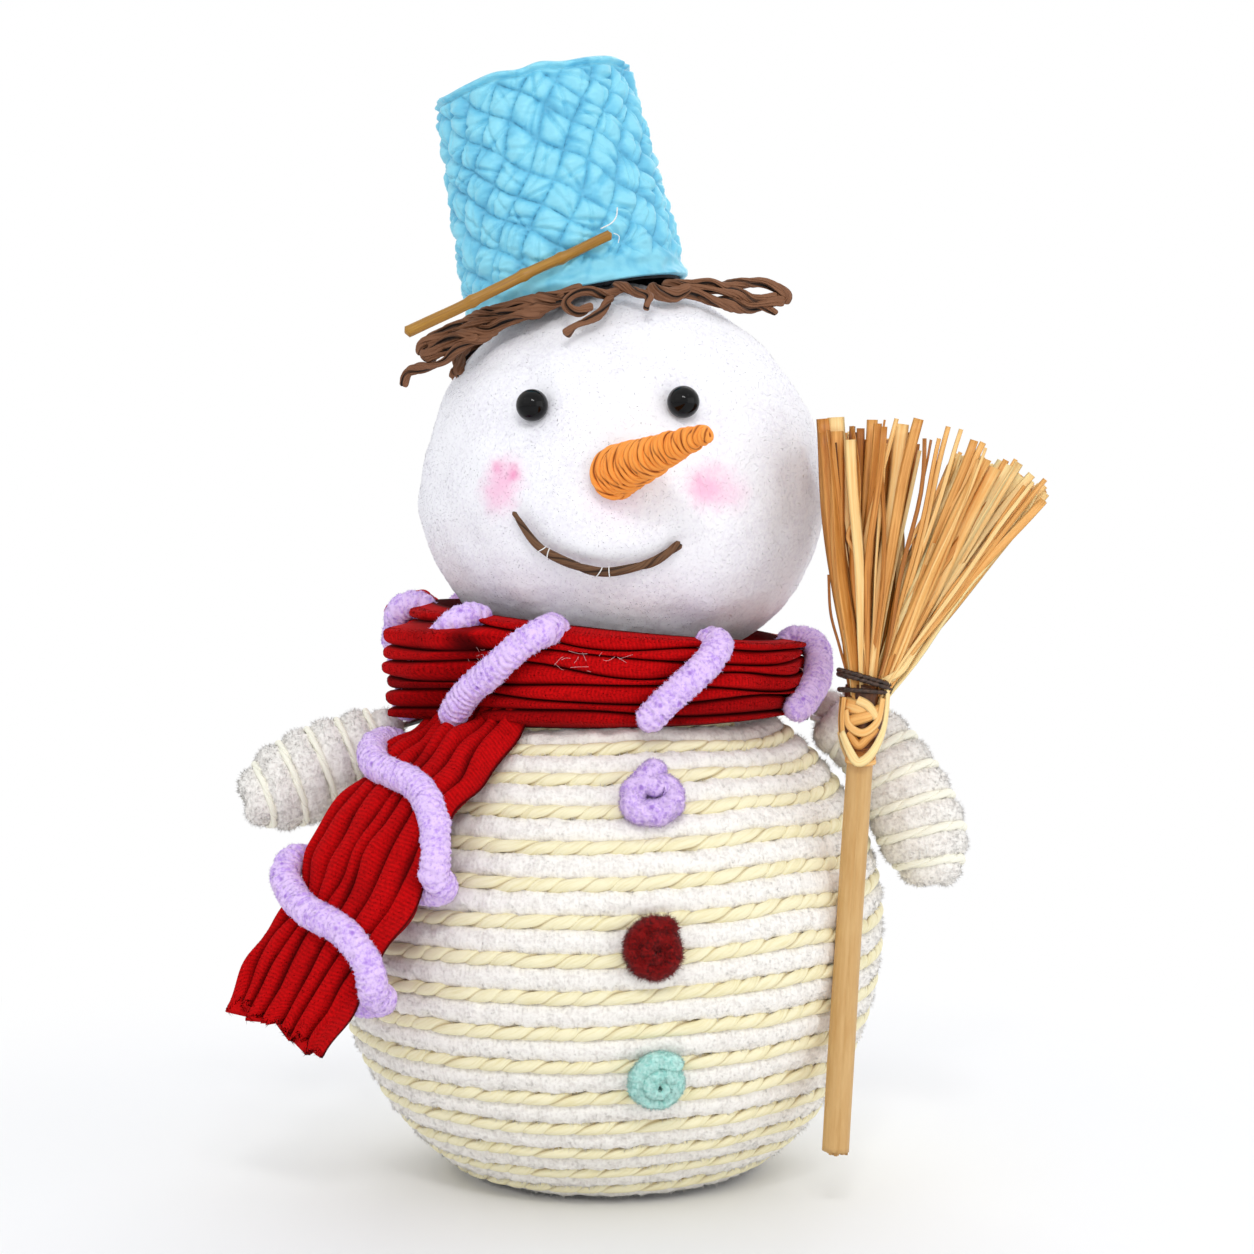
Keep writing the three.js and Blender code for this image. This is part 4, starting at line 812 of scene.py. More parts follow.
def build_wall(satin):
    sides, rows, inner_rows = 520, 190, 30
    around = loop_of(sides) - math.pi / 2
    phi, z = np.meshgrid(loop_of(sides), np.linspace(0, HAT_HEIGHT, rows))
    circumference = TAU * (HAT_RIM_RADIUS + HAT_CROWN_RADIUS) / 2
    wander = 0.10 * np.sin(3 * phi + 0.15 * z) + 0.07 * np.sin(5 * phi - 0.21 * z + 1.0)
    a = SEAMS[0] * phi / TAU - SEAM_SLANTS[0] * z / circumference + wander
    b = SEAMS[1] * phi / TAU + SEAM_SLANTS[1] * z / circumference - wander
    puff = (np.abs(np.sin(math.pi * a)) * np.abs(np.sin(math.pi * b))) ** 0.4
    tilt, fold = pad_folds(a, b)
    radius = hat_radius(z)
    flat = polar(radius, phi, z).reshape(-1, 3)
    pulls = ripples(flat * [1, 1, 2.1], 6.5, 41).reshape(phi.shape)
    creases = np.abs(ripples(flat * [1, 1, 2.8], 5.0, 42)).reshape(phi.shape)
    above_hem = smoothstep(z, 4, 9)
    body = above_hem * (1 - smoothstep(z, 61.5, 63.2))
    rise = body * (2.9 * puff - 1.2 + 3.8 * tilt * puff - 1.3 * fold * np.sqrt(puff) + 0.2 * pulls
                   - 0.4 * creases * (1 - 0.6 * puff))
    rise += (1 - above_hem) * (0.45 * np.sin(z * 0.9 + 2.4 * np.sin(phi * 2)) + 0.35 * pulls + 0.4)
    # A crinkled edge stands up at the top, over a groove.
    crinkle = np.sin(phi * 23 + 2 * np.sin(phi * 5)) * 0.35 + np.sin(phi * 41 + 1) * 0.2
    rise += peak(z - 64.2, 0.6) * (0.8 + crinkle) - 1.0 * peak(z - 62.9, 0.45)
    z_out = z + 0.45 * smoothstep(z, 58, 65) * np.sin(phi * 9 + 1.3 * np.sin(phi * 4))
    inner_z = np.linspace(HAT_HEIGHT - 0.3, 0, inner_rows)[:, None]
    rings = np.vstack([polar(radius + rise, around, z_out), polar(hat_radius(inner_z) - HAT_WALL, around, inner_z)])
    # Painted shade: darker in the seams between the pads and along each pad's sharp folds.
    shade = np.vstack([0.75 + body * (puff - 0.75) - 0.25 * fold * puff, np.full((inner_rows, sides), 0.5)])
    shape = Shape()
    shape.sweep(hat_to_doll(rings), np.clip(shade, 0, 1), closed=True)
    make_piece("hat_wall_quilt", shape, satin, "head", "satin_blue", "hat_wall")


def build_crown(satin):
    around = loop_of(240)
    shares = np.array([0.02, 0.15, 0.3, 0.45, 0.6, 0.72, 0.84, 0.92, 0.97, 1.0])[:, None]
    radius = (HAT_CROWN_RADIUS - 1.1) * shares
    height = HAT_HEIGHT - 0.9 + 1.1 * (1 - shares**2) + 0.3 * np.sin(around * 36) * shares**3
    shape = Shape()
    shape.sweep(hat_to_doll(np.vstack([polar(radius, around, height),
                                       polar(radius[::-1], around, HAT_HEIGHT - HAT_WALL)])), 0.95)
    make_piece("hat_crown_satin", shape, satin, "head", "satin_blue", "hat_crown")


def build_lining():
    cloth = plain_stock("cotton_lining_black", "#242428", "#131316", grain=0.8, roughness=0.9)
    around = loop_of(160)
    height = np.concatenate([np.linspace(-0.6, 60, 24), np.linspace(60, -0.6, 24)])[:, None]
    thin = np.repeat([0, 0.7], 24)[:, None]
    folds = np.minimum(0.25 * np.sin(around * 11 + 0.1 * height), 0)
    shape = Shape()
    shape.sweep(hat_to_doll(polar(hat_radius(height) - HAT_WALL - SEAT_GAP - thin + folds, around, height)),
                closed=True)
    make_piece("hat_lining_cloth", shape, cloth, "head", "lining_black", "hat_lining")


def build_twig():
    bark = dry_straw("twig_dried", [(0.2, "#5E3D0E"), (0.5, "#9E6E1C"), (0.8, "#C89A36")], roughness=0.42)
    line = hat_to_doll(smooth_line(TWIG_ROUTE, 90))
    line[:, 2] += 0.25 * ripples(line, 14, 51)
    along = distances(line)
    radius = 1.45 + 0.25 * (along / along[-1])
    for knuckle in (16.0, 27.5, 44.0):
        radius += 0.35 * peak(along - knuckle, 1.1)
    bumps = 1 + 0.06 * np.sin(loop_of(14) * 3 + along[:, None] * 0.12)
    shape = Shape()
    shape.sweep(round_rings(line, carried_frames(line, FORWARD), 14,
                            (radius * rounded_ends(line, 1.5, 0.5))[:, None] * bumps))
    make_piece("hat_twig_bark", shape, bark, "head", "wood_twig", "hat_twig")
    strands = Shape()
    end = np.array(TWIG_ROUTE[0]) * [1, 0, 1]
    for thick, route in ((0.2, [[-2.8, -37.3, 1.8], [0.4, -38, 2.6], [2.2, -38, 4.2], [3, -38, 6.6]]),
                         (0.12, [[0.5, -37.6, -0.2], [1.8, -38, -1.4], [1.2, -37.8, -3.2]])):
        line = hat_to_doll(smooth_line(np.array(route) + end, 24))
        strands.sweep(round_rings(line, carried_frames(line, FORWARD), 6, thick))
    make_piece("hat_threads", strands, bpy.data.materials["cotton_thread_white"], "head", "plush_white")


# Hair: for each CAD strand, its locks' routes in the hat's frame with their widths

LOCKS = {
    "hair_right_upper": [
        ([[2, -34, -1.2], [-8.1, -34.0, -1.4], [-15.7, -31.0, -1.1], [-23.3, -28.0, -1.5], [-30.9, -25.0, -1.9],
          [-38.9, -22.0, -3.9], [-46.4, -20.0, -5.6], [-47.7, -19.0, -8.4]], 1.7),
        ([[-4, -33.6, -2.4], [-16, -31.6, -3.0], [-28, -27.6, -3.2], [-37, -23.4, -5.0], [-44.6, -20.6, -6.6]], 1.5)],
    "hair_right_lower": [
        ([[-3.4, -35, -2.6], [-12.4, -34.0, -4.0], [-20.6, -31.0, -5.4], [-28.6, -28.0, -6.4], [-36.6, -25.0, -6.4],
          [-43.1, -22.6, -8.2], [-47.4, -21.4, -9.2]], 1.8),
        ([[-24, -29, -6.6], [-33, -27, -8.6], [-40, -24.4, -9.4], [-46, -22, -10.4]], 1.5),
        ([[-29.8, -29.0, -7.8], [-37.6, -26.4, -10.4], [-43.8, -24.0, -12.6], [-48.6, -22.0, -12.0],
          [-52.5, -21.0, -12.8], [-55.0, -20.0, -16.4]], 1.2)],
    "hair_fringe_right": [
        ([[14.7, -34.4, -3.0], [8.7, -37.0, -4.5], [3.9, -39.4, -2.6], [-1.0, -41.4, -3.0], [-3.4, -43.0, -5.3],
          [-0.7, -44.0, -8.3], [3.9, -44.0, -7.5]], 1.25),
        ([[9.5, -37.0, -4.9], [6.1, -41.6, -8.9], [1.7, -44.8, -11.2], [-2.6, -46.4, -12.4], [-5.6, -47.2, -14.6]],
         1.15)],
    "hair_fringe_left": [
        ([[11.0, -34.4, -2.4], [12.9, -36.0, -3.4], [16.6, -39.0, -5.3], [19.8, -42.0, -8.0], [18.1, -44.8, -11.4]],
         1.25),
        ([[20.5, -34, -4.4], [23.4, -35.0, -7.0], [27.4, -33.0, -7.9], [31.5, -30.4, -6.4]], 1.9)],
    "hair_left_upper": [
        ([[24.5, -28.0, -4.4], [30.9, -26.6, -4.8], [37.2, -25.0, -5.6], [43.3, -23.0, -7.7], [49.7, -22.0, -7.9],
          [55.5, -21.0, -9.9], [59.4, -20.0, -13.2], [58.4, -19.6, -15.4]], 1.4),
        ([[28.7, -27.6, -5.9], [38.4, -25.4, -8.0], [45.7, -24.0, -10.6], [51.0, -23.0, -13.4], [56.4, -21.4, -13.4]],
         1.3)],
    "hair_left_lower": [
        ([[26.0, -29.0, -6.6], [32.0, -27.6, -7.6], [37.9, -26.0, -11.0], [44.2, -24.0, -13.9], [48.9, -23.0, -15.1],
          [53.7, -22.0, -14.6], [58.6, -20.6, -14.6]], 1.7),
        ([[34, -27, -8.8], [41, -25, -12.0], [47, -23.4, -12.8], [52.6, -22, -16.0], [55.4, -21.4, -18.2]], 1.0)],
}


def add_lock(shape, route, width, seed):
    """Two crinkled strips of crepe paper that turn loosely round each other."""
    middle = wavering(hat_to_doll(smooth_line(route, 110)), size=0.35, wavelength=9, seed=seed)
    frames = carried_frames(middle, np.array([0.0, -1.0, 0.2]))
    for strand in range(2):
        towards = aimed(TAU * distances(middle) / 36 + math.pi * strand + seed, *frames)
        thick = width * (0.92 - 0.14 * strand)
        add_crepe(shape, middle + towards * width * 0.55, towards, thick, seed + 31 * strand)


def add_crepe(shape, line, towards, width, seed):
    """One strip, gathered into lengthways pleats and twisted a little as it goes."""
    out, side = side_frames(line, towards)
    along = distances(line)[:, None]
    sides = 40
    angles = loop_of(sides)
    crinkle = ripples(np.column_stack([along.repeat(sides), np.tile(angles, len(along))]), 2.2, seed)
    pleats = (1 + 0.21 * np.cos(7 * angles + 0.12 * along + seed) + 0.12 * np.cos(11 * angles - 0.2 * along)
              + 0.06 * crinkle.reshape(len(along), sides))
    wide = width * (1 + 0.22 * np.sin(along * 0.37 + seed)) * (0.45 + 0.55 * rounded_ends(line, width)[:, None])
    turn = 0.5 * np.sin(TAU * along[:, 0] / 23 + seed)
    frames = aimed(turn, out, side), aimed(turn, side, -out)
    shape.sweep(round_rings(line, frames, sides, 0.66 * wide * pleats, wide * pleats), start=seed * 13.0)


# Scarf

def round_neck(degrees, radius=1.0, height=0.0):
    """Points round the neck, some degrees from the front towards the doll's left."""
    angle = np.radians(degrees)
    return np.stack(np.broadcast_arrays(radius * np.sin(angle), radius * -np.cos(angle), height), -1)


def collar_edge(degrees):
    """Bottom and top of the collar at some degrees round from the front."""
    angle = np.radians(degrees)
    return 137.5 + 0.5 * np.sin(angle) - 1.1 * np.cos(angle), 163 - 5.5 * np.sin(angle) - 1.5 * np.cos(angle)


def under_collar(degrees):
    return round_neck(degrees, COLLAR_RADIUS + 2.4, collar_edge(degrees)[0] - TAIL_TOP_GAP)


def tail_frame(down):
    """Right edge, way across, way forward, width and way down of the hanging end at shares of its length."""
    count = 201
    edges = np.array([smooth_line([under_collar(degrees), *points], count) for degrees, points in (
        (-62, [[-71.6, -44.4, 117.4], [-84.7, -52, 93.2], [-94.6, -56, 78], [-102.5, -58, 61.5]]),
        (-25, [[-36.2, -69.5, 116.8], [-46.4, -77, 99], [-57, -78.5, 77], [-75.4, -72, 49.5]]))])
    rows = np.linspace(0, 1, count)
    right, left = (read_off(down, rows, edge) for edge in edges)
    sideways = unit(left - right)
    tangent = unit(sum(read_off(down, rows, np.gradient(edge, axis=0)) for edge in edges))
    forward = unit(np.cross(sideways, tangent))
    forward = np.where(forward[:, 1:2] > 0, -forward, forward)
    return right, sideways, forward, np.linalg.norm(left - right, axis=1), tangent


def soft_rolls(count, steps, rows, seed, wander):
    """The strip's soft rolls: places across it, from 0 to 1, and how far each stands out, row by row."""
    def drifts(columns, gap, wavelength, seed):
        along = np.arange(rows) * 1.0
        return np.column_stack([ripples(np.column_stack([along, np.full(rows, gap * k)]), wavelength, seed)
                                for k in range(columns)])

    q = np.linspace(0, 1, count * steps + 1)
    edges = np.arange(count + 1)[None] / count + wander * drifts(count + 1, 60.0, 52, seed) / count
    edges[:, 0], edges[:, -1] = 0, 1
    level = np.array([np.interp(q * count, np.arange(count + 1), row) for row in edges])
    roll = np.minimum(np.floor(q * count), count - 1).astype(int)
    inside = np.clip(q * count - roll, 0, 1)
    crest = np.abs(np.sin(math.pi * (inside + 0.09 * np.sin(TAU * inside)))) ** 0.5
    return q, level, crest * (1 + 0.32 * drifts(count, 45.0, 30, seed + 1)[:, roll])


def build_collar(velvet):
    steps, roll_steps = 340, 12
    # The cloth's end laps over its start behind the right shoulder.
    degrees = COLLAR_START - 3 + (COLLAR_SWEEP + 14) * np.linspace(0, 1, steps)[:, None]
    lap = 2.6 * smoothstep(degrees, 222, 234) - 1.2 * (1 - smoothstep(degrees, -120, -108))
    bottom, top = collar_edge(degrees)
    q, level, crest = soft_rolls(7, roll_steps, rows=steps, seed=71, wander=0.42)
    height = bottom - 1.2 + (top - bottom + 2.6) * level
    pinch = np.zeros((steps, len(q)))
    for top_degrees, bottom_degrees in COLLAR_WRAPS:
        turn = (degrees - bottom_degrees - (top_degrees - bottom_degrees) * q + 180) % 360 - 180
        pinch += peak(turn * math.pi / 180 * 60, 7.5)
    # On the right the strip's front layer ends in full rolls that cover the first tie but for its top.
    over = (1.4 * smoothstep(31 * q - degrees, 55, 65) * (1 - smoothstep(-degrees, 60, 79))
            * (1 - smoothstep(q, 0.8, 0.88)))
    pinch = np.clip(pinch, 0, 1) * np.clip(1 - over, 0, 1)
    # The rolls lie flatter at the front and stand rounder at both sides.
    depth = 3.3 + 1.5 * smoothstep(np.abs(degrees + 8), 18, 50)
    bulge = 2.0 * np.sin(math.pi * q)
    outer = COLLAR_RADIUS - 0.2 + bulge + depth * crest - 1.6 * pinch + 8.2 * over + lap
    places = np.column_stack([(np.radians(degrees) * COLLAR_RADIUS).repeat(len(q)), np.tile(q * 26, steps)])
    outer += (0.55 * ripples(places, 24, 72) + 0.14 * ripples(places, 4, 73)).reshape(steps, -1)
    hollow = np.hypot(places[:, 0] - math.radians(HOLLOW_DEGREES) * COLLAR_RADIUS, places[:, 1] - HOLLOW_RISE)
    hollow = hollow.reshape(steps, -1)
    outer -= 3.6 * peak(hollow, 3.2)
    # Painted shade: darker between the rolls, in the hollow, and on the lower rolls, which face down.
    shade = crest * (1 - 0.8 * peak(hollow, 3.0)) * (0.62 + 0.38 * smoothstep(level, 0.1, 0.75))
    rim = np.minimum(np.sin(math.pi * q) * 6, 1)
    outer = COLLAR_RADIUS - 3 + (outer - COLLAR_RADIUS + 3) * rim
    inner_q = np.linspace(1, 0, 11)[1:-1]
    inner = np.full((steps, len(inner_q)), COLLAR_RADIUS - 4.2)
    rings = round_neck(degrees, np.hstack([outer, inner]),
                       np.hstack([height, bottom - 1.2 + (top - bottom + 2.4) * inner_q]))
    shape = Shape()
    quads, points = shape.sweep(rings, np.hstack([shade, np.full(inner.shape, 0.4)]))
    ring, place = np.divmod(quads[:, 0], rings.shape[1])
    crests = (place < len(q)) & (place % roll_steps > 3) & (place % roll_steps < 9) & (ring > 0)
    shape.fibres(points, quads, 16000, length=0.55, width=0.1, seed=74, lean=1.0, allowed=crests)
    nodes = [f"scarf_collar_cord_{i + 1}" for i in range(6)]
    make_piece("scarf_collar_cloth", shape, velvet, "body", "velvet_red", *nodes)


def build_lint():
    """Pale threads caught on the velvet, round the hollow and at the front."""
    lint = plain_stock("cotton_lint_white", "#E9B9B9", "#C98787", grain=0.5, roughness=0.9)
    rng = np.random.default_rng(75)
    shape = Shape()
    for degrees, height, spread, count, reach in (
            (HOLLOW_DEGREES, 156, 4, 12, 2.6), (-4, 155, 6, 12, 5), (60, 152, 9, 4, 3)):
        for _ in range(count):
            start = round_neck(degrees + rng.normal(0, spread), COLLAR_RADIUS + 5.6)
            start[2] = height + rng.normal(0, 1.6)
            way = rng.normal(size=3) * [1, 0.3, 0.5]
            middle = start + way * reach * 0.5 + rng.normal(0, 0.5, 3) * 0.6
            line = smooth_line([start, middle, start + way * reach * 0.8], 12)
            shape.sweep(round_rings(line, side_frames(line, round_neck(degrees)), 4, 0.055))
    make_piece("scarf_lint_threads", shape, lint, "body", "plush_white")


def build_bundle(velvet):
    """The gathered end of the strip, behind the right shoulder."""
    shape = Shape()
    for index in range(5):
        tilt = abs(index - 2)
        line = smooth_line([round_neck(-96 - 5 * index, 59 + 0.8 * index, 158 + 1.5 * index),
                            round_neck(-98 - 4 * index, 64.5 + 0.6 * tilt, 168.5 - 1.1 * tilt),
                            round_neck(-104 - 4 * index, 57 + index, 171 - tilt)], 34)
        keep = rounded_ends(line, 3)
        shape.sweep(round_rings(line, side_frames(line, round_neck(-100.0)), 14, 2.9 * keep, 2.5 * keep), 0.9)
    make_piece("scarf_bundle_cloth", shape, velvet, "body", "velvet_red")


def build_tail(velvet):
    rows = 140
    down = np.linspace(0, 1, rows)[:, None]
    right, sideways, forward, width, tangent = tail_frame(down[:, 0])
    q, level, crest = soft_rolls(7, 10, rows, seed=81, wander=0.3)
    tied = sum(peak(down - share, 0.075) for share in TAIL_TIED_AT)
    level = 0.5 + (level - 0.5) * (1.03 - 0.12 * tied + 0.02 * np.sin(down * 37))
    crown = TAIL_CROWN * (1 - (2 * level - 1) ** 2)
    edge = np.minimum(np.sin(math.pi * q) * 4.5, 1)
    places = np.column_stack([(down * 100).repeat(len(q)), np.tile(q * 30, rows)])
    thick = (0.2 + 4.4 * crest) * edge + 0.3 * ripples(places, 14, 82).reshape(rows, -1)
    for share in TAIL_TIED_AT:
        thick *= 1 - 0.35 * peak(down - share - 0.13 * (q - 0.5), 0.05)
    under = slice(-2, 0, -1)
    levels = np.hstack([level, level[:, under]])
    depths = np.hstack([crown + thick, crown[:, under] - (0.6 + 2.1 * crest[:, under]) * edge[under]])
    rings = (right[:, None] + sideways[:, None] * (levels * width[:, None])[..., None]
             + forward[:, None] * depths[..., None])
    at = levels[-1] * 60
    ragged = (2.6 * ripples(np.column_stack([at, np.zeros_like(at)]), 9, 83)
              + 1.3 * ripples(np.column_stack([at, np.ones_like(at)]), 3, 84))
    rings = rings + tangent[:, None] * (smoothstep(down, 0.86, 1.0) * ragged)[..., None]
    tucked = rings[0] + np.array([[2.6, 2.6, 6.0], [1.4, 1.4, 3.0]])[:, None]
    # Painted shade between the rolls on the front face; the back keeps a middle tone.
    shade = np.hstack([crest, np.full((rows, len(q) - 2), 0.5)])
    shape = Shape()
    quads, points = shape.sweep(np.concatenate([tucked, rings]), np.vstack([shade[[0, 0]], shade]))
    last = len(quads) - 2 * len(at)
    shape.fibres(points, quads[last:], 1600, length=2.6, width=0.13, seed=85, lean=0.5)
    shape.fibres(points, quads[len(at) * 3:last], 12000, length=0.5, width=0.1, seed=86, lean=1.0)
    nodes = [f"scarf_tail_cord_{i + 1}" for i in range(7)]
    tail = make_piece("scarf_tail_cloth", shape, velvet, None, "velvet_red", *nodes)
    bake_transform(tail)


def build_ties(plush):
    for index, (top_degrees, bottom_degrees) in enumerate(COLLAR_WRAPS):
        share, lift, rise = np.array(TIE_COURSE).T
        degrees = bottom_degrees + (top_degrees - bottom_degrees) * share
        bottom, top = collar_edge(degrees)
        line = smooth_line(round_neck(degrees, COLLAR_RADIUS + lift, bottom + (top - bottom) * share + rise), 60)
        line = wavering(line, size=0.35, wavelength=13, seed=90 + 3 * index)
        outward = unit(line * [1, 1, 0] + [0, 0, 1e-6])
        add_tie(f"scarf_collar_tie_{index + 1}", line, outward, plush, "body", seed=200 + 5 * index, hairs=2200)
    turns = np.linspace(TAIL_WRAP_COURSE[0, 0], TAIL_WRAP_COURSE[-1, 0], 150)
    right, sideways, forward, width, _ = tail_frame(np.interp(turns, *TAIL_WRAP_COURSE.T))
    angle = math.pi * turns
    aside, ahead = (np.sign(way) * np.abs(way) ** 0.4 for way in (np.cos(angle), np.sin(angle)))
    across = (1 - aside) / 2
    depth = TAIL_CROWN * (1 - (2 * across - 1) ** 2) + ahead * (TAIL_CORD_DEPTH + TAIL_TIE_GAP)
    centre = right + sideways * (across * width - aside * TAIL_TIE_GAP)[:, None] + forward * depth[:, None]
    outward = forward * ahead[:, None] - sideways * aside[:, None]
    line = resample(centre, 190)
    outward = unit(resample(np.hstack([centre, outward]), 190)[:, 3:])
    line = wavering(line, size=0.3, wavelength=14, seed=240)
    add_tie("scarf_tail_tie", line, outward, plush, "scarf_tail", seed=250, hairs=9000)


def add_tie(node, line, outward, plush, body, seed, hairs):
    shape = Shape()
    line, outward = resample(line, len(line) * 3), unit(resample(outward, len(line) * 3))
    radius = settings().tie_radius / MM
    quads, points = chenille_stem(shape, line, outward, radius, seed, sides=28, lumps=0.045, rows=0.055)
    shape.fibres(points, quads, hairs, length=0.7, width=0.12, seed=seed + 2)
    make_piece(f"{node}_stem", shape, plush, body, "plush_lilac", node)


# Arms

def arm_helix(points, depth, lead, step, closed_end):
    """A helix round the arm's middle line, drawn in to its end where the plush closes."""
    p = np.array(points, float)
    count = 400
    t = np.linspace(0, 1, count)[:, None]
    middle = resample((1 - t) ** 2 * p[0] + 2 * t * (1 - t) * p[1] + t**2 * p[2], count)
    length = distances(middle)[-1]
    outline = smooth_line([
        [ARM_ROOT_RADIUS, ARM_START, 0], [ARM_RADIUS * 0.82, ARM_START + ARM_RADIUS, 0],
        [ARM_RADIUS, length - 2 * ARM_RADIUS, 0], [ARM_RADIUS * 0.97, length - ARM_RADIUS, 0],
        [ARM_RADIUS * 0.66, length - ARM_RADIUS * 0.27, 0], [ARM_PLUSH_RADIUS * 1.6, length, 0]], 200)[:, :2]
    measured = distances(outline)
    inset = outline + depth * unit(np.gradient(outline, axis=0))[:, ::-1] * [-1, 1]
    turns = measured[-1] / ARM_PITCH - lead
    share = np.linspace(0, 1, 1200)
    radius, distance = read_off((lead + share * turns) * ARM_PITCH, measured, inset).T
    angle = TAU * share * turns
    if closed_end:
        extra = np.linspace(0, 1, 120)[1:]
        radius = np.append(radius, radius[-1] * (1 - extra))
        distance = np.append(distance, distance[-1] + 1.5 * extra)
        angle = np.append(angle, angle[-1] + math.pi * extra)
    along = unit(np.gradient(middle, axis=0))
    rows = np.linspace(0, length, count)
    towards = aimed(angle, *(read_off(distance, rows, ways) for ways in upright(along)))
    past = np.maximum(distance - length, 0)[:, None]
    line = read_off(distance, rows, middle) + past * read_off(distance, rows, along) + towards * radius[:, None]
    packed = resample(np.hstack([line, towards]), int(distances(line)[-1] / step))
    return packed[:, :3], unit(packed[:, 3:])


# Buttons

def plush_coil(turns, reach):
    share = np.linspace(0, 1, 110)
    return polar(reach * (1 - share) ** 0.75, 0.6 + TAU * turns * share, 0.4 + 1.9 * share)


def plush_knot():
    return smooth_line([[3.2, 5.2, 1.0], [1.2, 6.0, 2.6], [-1.8, 3.6, 2.4], [-5.0, 0.5, 1.4], [-5.0, -4.0, 0.6],
                        [0, -5.6, 0.8], [4.8, -3.2, 1.0], [4.6, 1.2, 1.2], [0.8, 1.6, 2.8], [-0.6, -1.4, 3.0]], 110)


# Broom

BROOM_UP = unit(HANDLE_LEAN)
BROOM_RIGHT = unit(np.cross(-FORWARD, BROOM_UP))
BROOM_FRONT = np.cross(BROOM_RIGHT, BROOM_UP)
BROOM_ROUND = (BROOM_FRONT, BROOM_RIGHT)
BROOM_TOP = HANDLE_FOOT + BROOM_UP * HANDLE_LENGTH

# Broad leaves at the front of the fan: tip right and up, belly, width, shade, how far forward
LEAVES = [
    [-16.5, 76, -1.4, 5.5, 0.34, 5.0], [-13, 76.5, -0.8, 5.2, 0.68, 6.2], [-8.5, 74.5, -0.2, 2.0, 0.12, 4.0],
    [-6.5, 74, 0.4, 2.6, 0.2, 4.4], [-3.5, 76.5, -0.2, 3.4, 0.42, 5.0], [0, 76.5, -1.2, 0.7, 0.3, 6.8],
    [3.5, 77, -5.4, 1.4, 0.56, 7.4], [5.5, 76, -0.1, 4.6, 0.62, 4.6], [9.5, 77.5, -1.6, 3.2, 0.4, 5.8],
    [16, 72.5, 0.8, 1.4, 0.45, 5.6], [18, 76, 1.3, 1.6, 0.52, 5.0], [22, 75.5, -0.1, 1.4, 0.6, 5.2],
    [25, 72.5, 0.4, 2.6, 0.42, 6.0], [27.5, 72, -0.3, 2.0, 0.5, 6.6], [29, 67, -1.4, 6.2, 0.8, 4.4],
    [34, 67.5, 0.0, 2.0, 0.4, 6.6], [37.5, 68, -0.8, 1.4, 0.5, 6.0], [39, 63.5, -1.5, 6.6, 0.76, 5.2],
    [41.5, 64, -1.8, 2.6, 0.7, 6.4], [45, 61.5, -2.8, 3.0, 0.6, 5.6], [45, 57, -0.8, 2.6, 0.48, 7.0],
    [33, 58, -4.2, 2.6, 0.34, 7.2],
]
# Loose leaves: route, width and shade
STRAYS = [
    ([[-4.6, 3, 2.5], [-5.6, 3.5, 6], [-8.4, 4, 14], [-11.2, 4, 22.5], [-12.4, 4, 33]], 0.8, 0.2),
    ([[3.5, 4, 3.6], [6.5, 5, 5.6], [9.5, 5.4, 8], [12.5, 5, 13.4], [17, 4, 21]], 2.0, 0.7),
    ([[7.6, 5, 38], [10.6, 5.5, 46], [14.6, 5, 54], [18, 4.4, 62]], 1.0, 0.5),
    ([[10.0, 5, 47], [10.6, 5, 39], [9.2, 5, 31]], 0.9, 0.42),
    ([[-5.2, 6.5, 50], [-8.0, 7, 44], [-5.4, 7.4, 38], [-4.4, 7, 28]], 1.1, 0.5),
]
# Straps on one face of the knot: places round and up it, width, shade and lift
STRAPS = [
    ([[-6.6, -2.6], [-2.6, -3.4], [1.6, -4.4]], 4.6, 0.5, 0.0),
    ([[-2.4, -1.2], [0.4, -2.6], [3.0, -5.6]], 2.6, 0.66, 0.5),
    ([[5.2, -3.0], [0.6, -5.4], [-4.6, -7.4]], 3.4, 0.46, 0.3),
    ([[-5.6, -4.2], [-4.3, -8.4], [-0.4, -10.2], [3.4, -6.6], [4.7, -0.4]], 2.3, 0.54, 0.7),
    ([[-4.8, -10.4], [-1.6, -13.6], [0.8, -11.6], [3.6, -8.6]], 2.6, 0.38, 0.3),
    ([[-6.4, -0.6], [-6.7, -5.6], [-6.3, -11.2]], 2.2, 0.5, 0.8),
    ([[-6.5, -10.4], [-4.0, -15.2], [-1.4, -18.4], [1.6, -16.6], [4.0, -12.6], [5.5, -8], [6.1, -3], [6.2, 2.4]],
     2.7, 0.74, 1.1),
    ([[-6, -18], [0, -18.6], [6, -18]], 1.8, 0.55, -0.6),
]


def broom_to_doll(points):
    """Points right, forward and up from the top of the handle, in the doll's frame."""
    return BROOM_TOP + np.asarray(points, float) @ np.array([BROOM_RIGHT, BROOM_FRONT, BROOM_UP])


